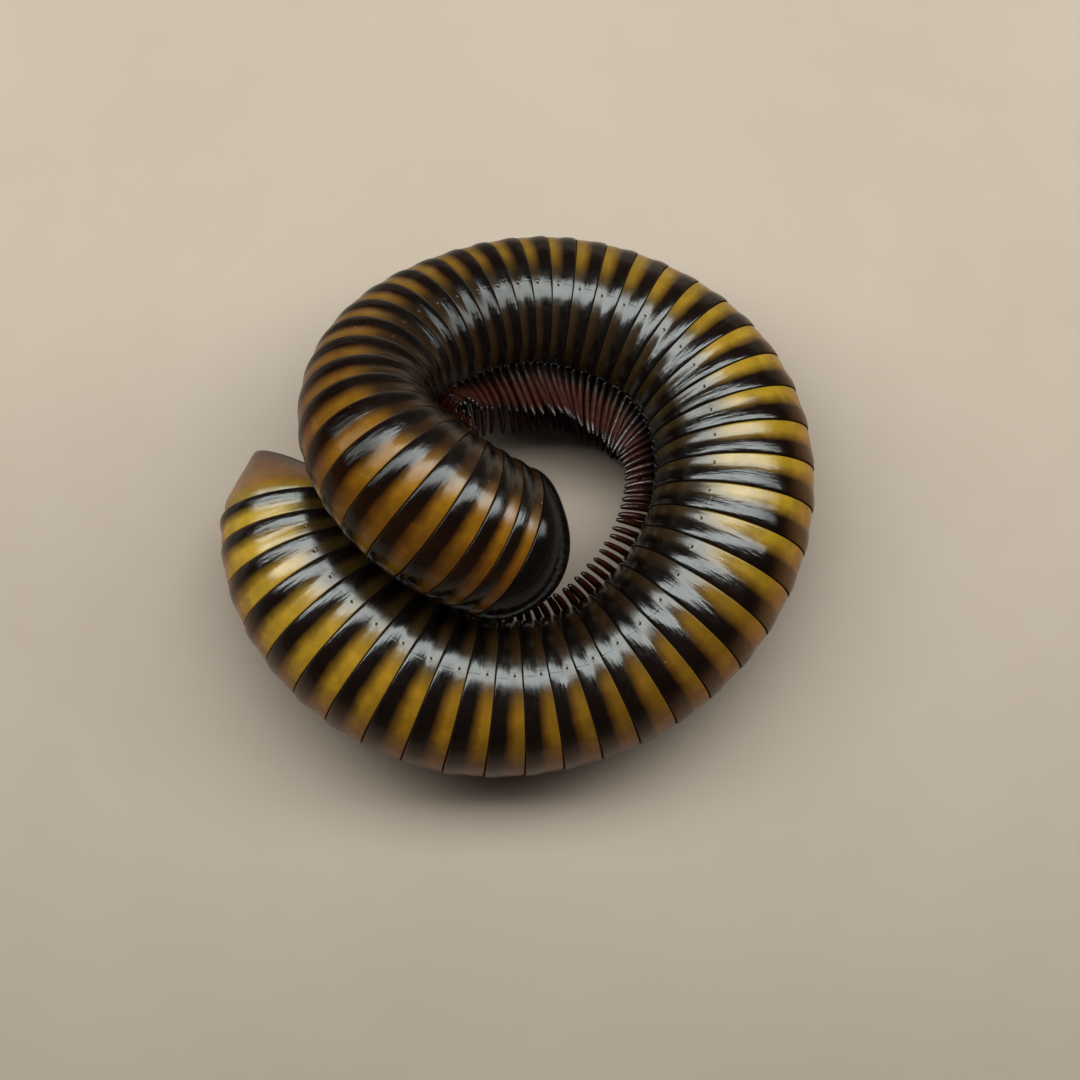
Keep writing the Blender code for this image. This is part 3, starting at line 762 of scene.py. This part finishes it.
def eye_axes(sign):
    turn = math.radians(EYE_TURN)
    out = unit(np.array([sign * math.sin(turn), math.cos(turn), 0.0]))
    along = np.cross((0, 0, 1), out)
    centre = np.array([sign * HEAD_RADII[0] * math.sin(turn), HEAD_RADII[1] * math.cos(turn), 0]) * EYE_DEPTH
    centre[2] = -EYE_RISE
    return centre, np.array([out, along, [0.0, 0.0, 1.0]])


def build_eye(name, sign, material):
    """A low mound with close rows of small domed lenses."""
    centre, axes = eye_axes(sign)
    surface = Surface()
    mound = ball_directions(*EYE_GRID) * EYE_RADII * (EYE_FLATNESS, 1, 1)
    surface.add_tube(head_place(centre + mound @ axes))
    lens = ball_directions(*LENS_GRID) * OCELLUS_RADIUS * (LENS_FLATNESS, 1, 1)
    for row in range(LENS_ROWS):
        height = (row - (LENS_ROWS - 1) / 2) * LENS_ROW_STEP
        lenses = LONGEST_LENS_ROW - abs(row - 2)
        for number in range(lenses):
            sideways = (number - (lenses - 1) / 2) * LENS_STEP + LENS_STAGGER * (row % 2)
            room = 1 - (sideways / EYE_RADII[1]) ** 2 - (height / EYE_RADII[2]) ** 2
            if room <= 0.06:
                continue
            place = (EYE_RADII[0] * EYE_FLATNESS * math.sqrt(room), sideways, height)
            surface.add_tube(head_place(centre + (lens + place) @ axes))
    surface.build(name, material, [name])


def build_antenna(name, sign, material, random):
    """Club-shaped segments in a row from beside the eye, with fine bristles and a sensing tip."""
    _, axes = head_axes()
    mirror = np.array([sign, 1, 1])
    place = head_place(mirror * ANTENNA_BASE)
    heading = unit((mirror * ANTENNA_HEADING) @ axes)
    surface = Surface()
    knuckle = (mirror * ANTENNA_SOCKET + mirror * ANTENNA_BASE) / 2
    surface.add_tube(head_place(knuckle + ball_directions(*KNUCKLE_GRID) * ANTENNA_KNUCKLE), along=0.0)
    turn = full_turn(ANTENNA_SIDES)
    for length, radius in ANTENNA_SEGMENTS:
        across = unit(np.cross(heading, axes[1]))
        other = np.cross(heading, across)
        outward = across * np.cos(turn)[:, None] + other * np.sin(turn)[:, None]
        grid = np.array([place + heading * (length * MM * part) + outward * (radius * scale * MM)
                         for part, scale in ANTENNA_OUTLINE])
        surface.add_tube(grid, along=spread([part for part, _ in ANTENNA_OUTLINE], ANTENNA_SIDES))
        for _ in range(BRISTLES_PER_SEGMENT):
            add_bristle(surface, place, heading, across, other, length, radius, random)
        place = place + heading * (length * MM * 1.02)
        heading = unit(heading + (mirror * ANTENNA_TURN) @ axes)
    surface.build(name, material, [name])


def add_bristle(surface, place, heading, across, other, length, radius, random):
    turn = random.uniform(0, 2 * math.pi)
    part = random.uniform(0.45, 0.95)
    outward = across * math.cos(turn) + other * math.sin(turn)
    root = place + heading * (length * MM * part) + outward * (radius * MM * 0.93)
    lean = unit(outward * 0.55 + heading)
    wide = unit(np.cross(lean, outward))
    up = np.cross(lean, wide)
    sides = np.array([wide * math.cos(angle) + up * math.sin(angle) for angle in BRISTLE_CORNERS])
    grid = np.array([root + lean * (BRISTLE_LENGTH * MM * step) + sides * (thick * MM)
                     for step, thick in BRISTLE_OUTLINE])
    surface.add_tube(grid, along=0.9)


def build_mandible(name, sign, material):
    """The cheek plate of a jaw, with the joint line between its two parts."""
    direction = ball_directions(*MANDIBLE_GRID)
    local = direction * MANDIBLE_RADII
    line = bell(local[..., 2] + 0.55 + 0.25 * local[..., 1], 0.07)
    lobe = bell(local[..., 2] - 1.15, 0.06) * 0.6
    local = local - direction * (MANDIBLE_LINE_DEPTH * (line + lobe))[..., None]
    centre = np.array([sign, 1, 1]) * MANDIBLE_CENTRE
    surface = Surface()
    surface.add_tube(head_place(local + centre), along=per_point(local[..., 2] / 4 + 0.5, (0.0, 1.0)))
    surface.build(name, material, [name])


def build_chin(material):
    """The broad plate under the mouth, with the lines between its parts."""
    direction = ball_directions(*CHIN_GRID)
    local = direction * CHIN_RADII
    across, down = local[..., 0], local[..., 2]
    wedge = np.abs(np.abs(across) - 0.45 - 0.28 * (1.8 - down))
    lines = bell(wedge, 0.07) * smooth_step(down, -1.6, -1.2)
    middle = bell(across, 0.05) * smooth_step(down, 0.4, 0.7)
    cross_line = bell(down - 0.4, 0.05) * (np.abs(across) < 0.8)
    local = local - direction * (CHIN_LINE_DEPTH * np.clip(lines + middle + cross_line, 0, 1))[..., None]
    surface = Surface()
    surface.add_tube(head_place(local + CHIN_CENTRE), along=per_point(down / 5 + 0.5, (0.0, 1.0)))
    surface.build("chin_plate", material, ["chin"])


# Materials

CUTICLE_IOR = 1.52
EYE_IOR = 1.55
FLOOR_IOR = 1.45
NOISE_ROUGHNESS = 0.55
# Where the noise of patches and of gloss goes from its low to its high end
PATCH_STEP = (0.35, 0.72)
GLOSS_STEP = (0.3, 0.75)
FLOOR_GLOSS_STEP = (0.3, 0.7)

# Tables by ring number as a share of them all, colours in sRGB
# The bright front of the rings
RING_YELLOWS = (
    (0.0, (152, 120, 34)), (0.08, (146, 110, 26)), (0.15, (126, 87, 15)), (0.24, (104, 71, 13)),
    (0.32, (106, 74, 14)), (0.38, (136, 107, 22)), (0.46, (134, 103, 24)), (0.58, (108, 79, 20)),
    (0.70, (96, 68, 18)), (0.82, (90, 58, 13)), (0.90, (117, 78, 11)), (0.97, (111, 70, 8)))
# The middle of the back: browner, partly its own colour and partly a painted reflection of a brown ground,
# and its share there
BACK_BROWNS_AND_REFLECTION = (
    (0.0, (118, 58, 18)), (0.15, (128, 66, 18)), (0.25, (128, 70, 20)), (0.38, (138, 88, 26)),
    (0.52, (122, 74, 26)), (0.65, (108, 62, 28)), (0.78, (100, 52, 20)), (0.90, (66, 30, 10)))
BACK_SHARES = ((0.0, 0.68), (0.34, 0.72), (0.50, 0.62), (0.68, 0.52), (0.80, 0.50), (0.90, 0.58))
# Where the dark underside begins, as a share of halfway round a ring
SHADE_STARTS = (
    (0.0, 0.48), (0.10, 0.47), (0.20, 0.41), (0.32, 0.42), (0.40, 0.51), (0.48, 0.45), (0.56, 0.41),
    (0.68, 0.40), (0.80, 0.44), (0.90, 0.35), (1.0, 0.32))
# How strongly the back of the rings gleams, and how strongly their sides do
BACK_GLOSS = (
    (0.0, 0.12), (0.12, 0.24), (0.22, 0.26), (0.30, 0.14), (0.42, 0.06), (0.54, 0.07), (0.66, 0.03),
    (0.80, 0.03), (0.88, 0.10), (1.0, 0.30))
SIDE_GLOSS = 0.5
# How much further down the sides the weak gleam of the back reaches, as a share of halfway round a ring
GLOSS_DELAY = ((0.0, 0.0), (0.54, 0.0), (0.66, 0.10), (0.78, 0.10), (0.86, 0.05), (0.94, 0.0))
# How much weaker the gleam is on the dark underside
UNDER_DULLNESS = ((0.60, 0.0), (0.70, 0.6), (0.90, 0.6), (1.0, 0.35))
# How far the bands move towards the front of a ring, as a share of its length
BAND_SHIFT = ((0.02, 0.0), (0.14, 0.07), (0.55, 0.07), (0.66, 0.13), (0.79, 0.13), (0.88, 0.07))

# The bands of a ring: where each change starts and ends, as shares of its length from the rear edge
BLACK_TO_BROWN = (0.31, 0.52)
BROWN_TO_YELLOW = (0.46, 0.69)
# The yellow's front darkens with painted shade next to the next ring's rim
YELLOW_TO_SHADED_FRONT = (0.90, 1.04)
REAR_EDGE = (0.010, 0.026)
DULL_REAR_EDGE = (0.006, 0.022)
# Where painted shade darkens the crevice before the next ring's rim
SEAM = (0.968, 0.986)
DULL_FRONT_EDGE = (0.945, 0.970)
HALFWAY = (0.45, 0.65)
RING_BLACK = (13, 5, 3)
BAND_BROWN = (48, 18, 5)
EDGE_BROWN = (60, 40, 24)
SEAM_SHADE = (8, 5, 4)
UNDERSIDE_COLOURS = (
    (0.0, (9, 5, 4)), (0.45, (9, 5, 3)), (0.62, (22, 12, 6)), (0.90, (27, 15, 8)), (1.0, (20, 11, 7)))
# Round a ring: shares of halfway round it, counted from the back, or from where the shade begins
SHADE_STEP = (-0.09, 0.06)
BACK_TO_SIDE = (0.02, 0.20)
DULL_TO_GLOSSY = (0.16, 0.36)
SIDE_TO_UNDER = (0.42, 0.58)
# Round a pore, in mm from its middle
PORE_HOLE = (0.06, 0.12)
PORE_RIM_INNER = (0.12, 0.20)
PORE_RIM_OUTER = (0.22, 0.32)
PORE_RIM_COLOUR = (92, 80, 66)
# The painted shade inside a pore's opening
PORE_SHADE = (10, 6, 4)
# Specks: their spacing and size in mm, and colour
RING_DUST = ((1.9, 0.055), (158, 140, 106))
TELSON_SPECKS = ((2.2, 0.06), (24, 14, 10))
# In mm: a ring's length, halfway round a ring, and the width and length of the fine streaks round it
RING_SPACING = 2.45
HALF_GIRTH = 22.0
STREAK_WIDTH = 0.3
STREAK_LENGTH = 2.5

TELSON_COLOURS = (
    (0.0, (118, 94, 22)), (0.22, (120, 92, 24)), (0.40, (106, 68, 18)), (0.62, (88, 50, 20)),
    (0.82, (70, 42, 26)), (1.0, (56, 37, 30)))
TELSON_UNDER_BROWN = (26, 14, 8)
TELSON_UNDERSIDE = (0.55, 0.85)
EYE_COLOURS = ((0.3, (9, 9, 11)), (0.7, (28, 26, 28)))
FLOOR_COLOURS = ((0.3, (149, 133, 120)), (0.7, (153, 137, 124)))
# What the plain cuticles share: size in mm and reach of the colours' waver, size in mm of the patches and
# their darkest and lightest shade, size in mm of the gloss's patches and their lowest and highest roughness,
# and layers of relief: size in mm, detail, height in mm
SMALL_PARTS = ((0.7, 0.12), (0.5, 0.72, 1.2), (0.4, 0.15, 0.27), ((0.12, 3.0, 0.01),))
# The plain cuticles: the surface's number that the colours run along, the colours, and the row above
PLAIN_CUTICLES = {
    "collum_cuticle": (
        "along", ((0.0, (10, 6, 5)), (0.30, (8, 6, 6)), (0.62, (9, 6, 6)), (0.85, (26, 13, 9))),
        (2.0, 0.08), (1.2, 0.78, 1.2), (0.8, 0.13, 0.22), ((0.2, 4.0, 0.003), (1.8, 2.0, 0.03))),
    "valve_cuticle": (
        "across", ((0.0, (122, 92, 72)), (0.10, (114, 84, 64)), (0.22, (78, 53, 38)),
                   (0.60, (70, 47, 34)), (0.9, (90, 64, 48)), (1.0, (52, 33, 24))),
        (1.6, 0.08), (0.9, 0.82, 1.12), (0.7, 0.30, 0.44), ((0.3, 4.0, 0.02),)),
    "head_cuticle": (
        "down", ((0.0, (18, 11, 9)), (0.45, (24, 13, 9)), (0.70, (62, 30, 16)), (0.95, (96, 52, 26))),
        (1.6, 0.10), (0.9, 0.75, 1.2), (0.6, 0.22, 0.36), ((0.16, 4.0, 0.012),)),
    # The near-black first third of each leg is painted shade under the belly; further down is the legs' own
    # red-brown
    "leg_cuticle": (
        "along", ((0.0, (8, 4, 3)), (0.36, (14, 6, 4)), (0.52, (38, 12, 5)), (0.84, (44, 14, 6)),
                  (1.0, (24, 10, 7))), *SMALL_PARTS),
    "mouthpart_cuticle": (
        "along", ((0.0, (40, 20, 13)), (0.6, (84, 42, 22)), (1.0, (110, 62, 34))), *SMALL_PARTS),
    "antenna_cuticle": (
        "along", ((0.0, (120, 66, 40)), (0.2, (70, 30, 18)), (0.8, (82, 36, 20)), (1.0, (130, 78, 50))),
        *SMALL_PARTS),
}
COLLUM_LEVELS = (0.16, 0.24)
# Places of the colour sockets on a Mix node
MIX_FIRST_COLOUR = 6
MIX_SECOND_COLOUR = 7
MIX_COLOUR_OUT = 2


class Graph:
    """A material's nodes, made by short calls that give back output sockets. Sizes are in mm."""

    def __init__(self, name, ior=CUTICLE_IOR):
        self.material = bpy.data.materials.new(name)
        self.material.use_nodes = True
        self.tree = self.material.node_tree
        self.shader = self.tree.nodes["Principled BSDF"]
        self.shader.inputs["IOR"].default_value = ior
        self.place = self.node("ShaderNodeTexCoord", "Object")

    def node(self, kind, output, settings=(), inputs=()):
        made = self.tree.nodes.new(kind)
        for title, value in dict(settings).items():
            setattr(made, title, value)
        for title, value in dict(inputs).items():
            self.feed(made.inputs[title], value)
        return made.outputs[output]

    def feed(self, socket, value):
        if isinstance(value, bpy.types.NodeSocket):
            self.tree.links.new(value, socket)
        else:
            socket.default_value = value

    def number(self, name):
        return self.node("ShaderNodeAttribute", "Fac", {"attribute_name": name})

    def noise(self, size, detail=3.0):
        """Cloudy noise from 0 to 1, its largest patches about size across."""
        return self.node("ShaderNodeTexNoise", "Fac", (), {
            "Vector": self.place, "Scale": 1 / (size * MM), "Detail": detail, "Roughness": NOISE_ROUGHNESS})

    def streaks(self, ring, along, around):
        """Fine streaks running round the rings, as noise from 0 to 1."""
        down_body = self.times(self.plus(self.times(ring, RING_COUNT), along), RING_SPACING / STREAK_WIDTH)
        round_body = self.times(around, HALF_GIRTH / STREAK_LENGTH)
        place = self.node("ShaderNodeCombineXYZ", "Vector", (), {"X": down_body, "Y": round_body})
        return self.node("ShaderNodeTexNoise", "Fac", (), {"Vector": place, "Scale": 1.0, "Detail": 3.0})

    def dots(self, spacing, size):
        """1 at small scattered dots, 0 elsewhere."""
        inputs = {"Vector": self.place, "Scale": 1 / (spacing * MM)}
        far = self.node("ShaderNodeTexVoronoi", "Distance", (), inputs)
        return self.maths("LESS_THAN", far, size / spacing)

    def maths(self, operation, first, second):
        return self.node("ShaderNodeMath", "Value", {"operation": operation}, {0: first, 1: second})

    def times(self, first, second):
        return self.maths("MULTIPLY", first, second)

    def plus(self, first, second):
        return self.maths("ADD", first, second)

    def minus(self, first, second):
        return self.maths("SUBTRACT", first, second)

    def drift(self, value, reach):
        """A value from 0 to 1 as a small number on both sides of 0."""
        return self.times(self.minus(value, 0.5), reach)

    def rise(self, value, low, high, to_low=0.0, to_high=1.0):
        """A soft step of value from low to high, as numbers from to_low to to_high."""
        return self.node("ShaderNodeMapRange", "Result", {"interpolation_type": "SMOOTHSTEP"}, {
            "Value": value, "From Min": low, "From Max": high, "To Min": to_low, "To Max": to_high})

    def ramp(self, value, stops):
        """What a table says at a value: its rows are places, each with a colour or a number."""
        made = self.tree.nodes.new("ShaderNodeValToRGB")
        self.tree.links.new(value, made.inputs["Fac"])
        elements = made.color_ramp.elements
        while len(elements) < len(stops):
            elements.new(0.5)
        for element, (place, found) in zip(elements, stops):
            element.position = place
            element.color = linear(found) if isinstance(found, tuple) else (found, found, found, 1.0)
        return made.outputs["Color"]

    def mix(self, share, first, second, blend="MIX"):
        made = self.tree.nodes.new("ShaderNodeMix")
        made.data_type = "RGBA"
        made.blend_type = blend
        self.feed(made.inputs["Factor"], share)
        self.feed(made.inputs[MIX_FIRST_COLOUR], first)
        self.feed(made.inputs[MIX_SECOND_COLOUR], second)
        return made.outputs[MIX_COLOUR_OUT]

    def paint(self, share, colour, paint):
        """The colour with a share of an sRGB colour over it."""
        return self.mix(share, colour, linear(paint))

    def wavering(self, name, size, reach):
        """A number of the surface, moved on a little by noise."""
        return self.plus(self.number(name), self.times(self.noise(size), reach))

    def patched(self, colour, size, darkest, lightest):
        """The colour with soft darker and lighter patches."""
        patches = self.rise(self.noise(size, 4.0), *PATCH_STEP, darkest, lightest)
        return self.mix(1.0, colour, patches, "MULTIPLY")

    def gloss(self, size, lowest, highest, detail=4.0):
        """Roughness that differs from patch to patch."""
        return self.rise(self.noise(size, detail), *GLOSS_STEP, lowest, highest)

    def bump(self, height, distance, normal=None):
        inputs = {"Height": height, "Distance": distance * MM, "Strength": 1.0}
        if normal is not None:
            inputs["Normal"] = normal
        return self.node("ShaderNodeBump", "Normal", (), inputs)

    def relief(self, layers, normal=None):
        """Fine relief in layers, each a size, a detail and a height."""
        for size, detail, height in layers:
            normal = self.bump(self.noise(size, detail), height, normal)
        return normal

    def finish(self, colour, roughness, normal, level=None):
        inputs = {"Base Color": colour, "Roughness": roughness, "Normal": normal}
        if level is not None:
            inputs["Specular IOR Level"] = level
        for title, value in inputs.items():
            self.feed(self.shader.inputs[title], value)
        return self.material


def ring_material():
    """A ring's cuticle from its rear edge on: a black band, brown, then yellow, with painted shade darkening
    its front and the seam where it slips under the next ring.

    The back is browner, partly its own colour and partly a painted reflection of a brown ground, and less
    glossy than the sides, and the underside is dark.
    """
    graph = Graph("ring_cuticle")
    along, around, ring, tone, pore = (
        graph.number(name) for name in ("along", "around", "ring", "tone", "pore"))
    wide = graph.drift(graph.noise(3.2), 0.12)
    fine = graph.drift(graph.noise(0.5), 0.04)
    place = graph.plus(graph.plus(along, wide), graph.plus(fine, graph.drift(tone, 0.05)))
    side = graph.plus(around, wide)
    step = graph.minus(place, graph.ramp(ring, BAND_SHIFT))

    yellow = graph.ramp(ring, RING_YELLOWS)
    brown = graph.paint(0.62, yellow, BAND_BROWN)
    colour = graph.mix(graph.rise(step, *BLACK_TO_BROWN), linear(RING_BLACK), brown)
    colour = graph.mix(graph.rise(step, *BROWN_TO_YELLOW), colour, yellow)
    # Painted shade: the front of the yellow darkens next to the next ring's overlapping rim
    colour = graph.mix(graph.rise(place, *YELLOW_TO_SHADED_FRONT, 0.0, 0.35), colour, brown)
    beyond = graph.minus(side, graph.ramp(ring, SHADE_STARTS))
    underside = graph.ramp(place, UNDERSIDE_COLOURS)
    colour = graph.mix(graph.rise(beyond, *SHADE_STEP, 0.0, 0.94), colour, underside)
    back = graph.rise(side, *BACK_TO_SIDE, 1.0, 0.0)
    on_black = graph.rise(ring, 0.80, 0.92, 0.38, 0.18)
    # On the back, brown over the bands: partly the back's own colour and partly a painted reflection of a
    # brown ground, weaker over the black band
    brown_and_reflection = graph.times(graph.ramp(ring, BACK_SHARES), graph.rise(step, *BLACK_TO_BROWN, on_black, 1.0))
    colour = graph.mix(graph.times(back, brown_and_reflection), colour, graph.ramp(ring, BACK_BROWNS_AND_REFLECTION))
    colour = graph.patched(colour, 1.6, 0.80, 1.12)

    rim = graph.times(graph.rise(pore, *PORE_RIM_INNER), graph.rise(pore, *PORE_RIM_OUTER, 0.20, 0.0))
    rim = graph.times(rim, graph.rise(ring, 0.12, 0.30, 1.0, 0.25))
    colour = graph.paint(rim, colour, PORE_RIM_COLOUR)
    # Painted shade inside the pore's opening
    colour = graph.paint(graph.rise(pore, *PORE_HOLE, 0.9, 0.0), colour, PORE_SHADE)
    # Painted shade in the crevice where the ring's front slips under the next ring's rim
    colour = graph.paint(graph.rise(along, *SEAM, 0.0, 0.9), colour, SEAM_SHADE)
    colour = graph.paint(graph.rise(along, *REAR_EDGE, 0.15, 0.0), colour, EDGE_BROWN)
    dots, dust_colour = RING_DUST
    dust = graph.times(graph.dots(*dots), graph.rise(graph.noise(6.0), 0.42, 0.55))
    colour = graph.paint(graph.times(dust, 0.8), colour, dust_colour)

    rear_dull = graph.rise(ring, 0.84, 0.90, 1.0, 0.1)
    dull = graph.maths("MAXIMUM", graph.rise(along, *DULL_FRONT_EDGE),
                       graph.rise(along, *DULL_REAR_EDGE, rear_dull, 0.0))
    rougher = graph.plus(graph.times(graph.rise(place, *HALFWAY), 0.03), graph.times(dull, 0.4))
    roughness = graph.plus(graph.gloss(0.9, 0.15, 0.25), rougher)

    gleam = graph.ramp(ring, BACK_GLOSS)
    on_side = graph.rise(graph.minus(side, graph.ramp(ring, GLOSS_DELAY)), *DULL_TO_GLOSSY)
    level = graph.plus(gleam, graph.times(on_side, graph.minus(SIDE_GLOSS, gleam)))
    level = graph.times(level, graph.minus(1.0, graph.times(dull, 0.7)))
    under = graph.times(graph.rise(side, *SIDE_TO_UNDER), graph.ramp(ring, UNDER_DULLNESS))
    level = graph.times(level, graph.minus(1.0, under))

    streaks = graph.times(graph.streaks(ring, along, around), graph.rise(place, *HALFWAY, 1.0, 0.35))
    normal = graph.bump(streaks, 0.045, graph.relief([(0.22, 4.0, 0.002)]))
    return graph.finish(colour, roughness, graph.relief([(2.2, 2.0, 0.025)], normal), level)


def telson_material():
    """Olive-yellow at the last ring, orange-brown in the middle and mauve-brown at the tip."""
    graph = Graph("telson_cuticle")
    colour = graph.ramp(graph.wavering("along", 2.4, 0.10), TELSON_COLOURS)
    shade = graph.rise(graph.number("around"), *TELSON_UNDERSIDE)
    colour = graph.paint(graph.times(shade, 0.6), colour, TELSON_UNDER_BROWN)
    colour = graph.patched(colour, 1.4, 0.82, 1.12)
    dots, speck_colour = TELSON_SPECKS
    colour = graph.paint(graph.times(graph.dots(*dots), 0.7), colour, speck_colour)
    normal = graph.relief([(0.25, 4.0, 0.014), (1.8, 2.0, 0.05)])
    return graph.finish(colour, graph.gloss(0.9, 0.26, 0.40), normal)


def plain_cuticle(name):
    """A cuticle from the table. The collum's gleam is weaker than the others' and is uneven."""
    source, stops, waver, patches, gloss, layers = PLAIN_CUTICLES[name]
    graph = Graph(name)
    colour = graph.patched(graph.ramp(graph.wavering(source, *waver), stops), *patches)
    level = graph.rise(graph.noise(3.0), 0.35, 0.65, *COLLUM_LEVELS) if name == "collum_cuticle" else None
    return graph.finish(colour, graph.gloss(*gloss), graph.relief(layers), level)


def eye_material():
    graph = Graph("eye_lenses", EYE_IOR)
    colour = graph.ramp(graph.noise(0.3), EYE_COLOURS)
    return graph.finish(colour, graph.gloss(0.25, 0.10, 0.24, 3.0), graph.relief([(0.08, 2.0, 0.004)]))


def floor_material():
    graph = Graph("floor", FLOOR_IOR)
    colour = graph.ramp(graph.noise(30.0), FLOOR_COLOURS)
    roughness = graph.rise(graph.noise(8.0), *FLOOR_GLOSS_STEP, 0.75, 0.85)
    return graph.finish(colour, roughness, graph.relief([(2.0, 3.0, 0.01)]))


# Studio


def build_floor():
    mesh = bpy.data.meshes.new("floor")
    corners = [(x * FLOOR_HALF, y * FLOOR_HALF, 0) for x, y in ((-1, -1), (1, -1), (1, 1), (-1, 1))]
    mesh.from_pydata(corners, [], [(0, 1, 2, 3)])
    mesh.materials.append(floor_material())
    floor = bpy.data.objects.new("floor", mesh)
    bpy.context.scene.collection.objects.link(floor)


def add_softbox():
    light = bpy.data.lights.new("softbox", "AREA")
    light.shape = "RECTANGLE"
    light.size, light.size_y = SOFTBOX_SIZE
    light.energy = SOFTBOX_RADIANCE * math.pi * SOFTBOX_SIZE[0] * SOFTBOX_SIZE[1]
    light.color = SOFTBOX_COLOUR
    lamp = bpy.data.objects.new("softbox", light)
    lamp.location = SOFTBOX_PLACE
    bpy.context.scene.collection.objects.link(lamp)


def build_world():
    """Dim overhead and pale towards the horizon, as in a room with one softbox."""
    world = bpy.data.worlds.new("studio")
    world.use_nodes = True
    tree = world.node_tree
    background = tree.nodes["Background"]
    place = tree.nodes.new("ShaderNodeTexCoord")
    split = tree.nodes.new("ShaderNodeSeparateXYZ")
    ramp = tree.nodes.new("ShaderNodeValToRGB")
    tree.links.new(place.outputs["Generated"], split.inputs["Vector"])
    tree.links.new(split.outputs["Z"], ramp.inputs["Fac"])
    tree.links.new(ramp.outputs["Color"], background.inputs["Color"])
    elements = ramp.color_ramp.elements
    elements[0].position, elements[0].color = 0.0, (*HORIZON_LIGHT, 1)
    elements[1].position, elements[1].color = OVERHEAD_HEIGHT, (*OVERHEAD_LIGHT, 1)
    background.inputs["Strength"].default_value = 1.0
    bpy.context.scene.world = world


def build_camera():
    camera = bpy.data.cameras.new("camera")
    camera.lens = CAMERA_LENS
    camera.sensor_width = CAMERA_SENSOR
    camera.sensor_fit = "HORIZONTAL"
    camera.clip_start, camera.clip_end = CAMERA_CLIP
    holder = bpy.data.objects.new("camera", camera)
    holder.location = CAMERA_PLACE
    holder.rotation_euler = (math.radians(CAMERA_TILT), 0, 0)
    bpy.context.scene.collection.objects.link(holder)
    bpy.context.scene.camera = holder


def build_studio():
    build_floor()
    build_world()
    build_camera()
    add_softbox()
    bpy.context.scene.view_settings.view_transform = "Standard"


def build_animal():
    build_rings(ring_material())
    build_legs(plain_cuticle("leg_cuticle"))
    margin = build_telson(telson_material())
    for name, sign in (("valve_left", 1), ("valve_right", -1)):
        build_valve(name, sign, plain_cuticle("valve_cuticle"), *margin)
    build_collum(plain_cuticle("collum_cuticle"))
    build_head(plain_cuticle("head_cuticle"))
    mouth = plain_cuticle("mouthpart_cuticle")
    feeler = plain_cuticle("antenna_cuticle")
    lens = eye_material()
    random = np.random.default_rng(ANTENNA_SEED)
    for name, sign in (("left", 1), ("right", -1)):
        build_eye("eye_" + name, sign, lens)
        build_antenna("antenna_" + name, sign, feeler, random)
        build_mandible("mandible_" + name, sign, mouth)
    build_chin(mouth)


build_animal()
build_studio()
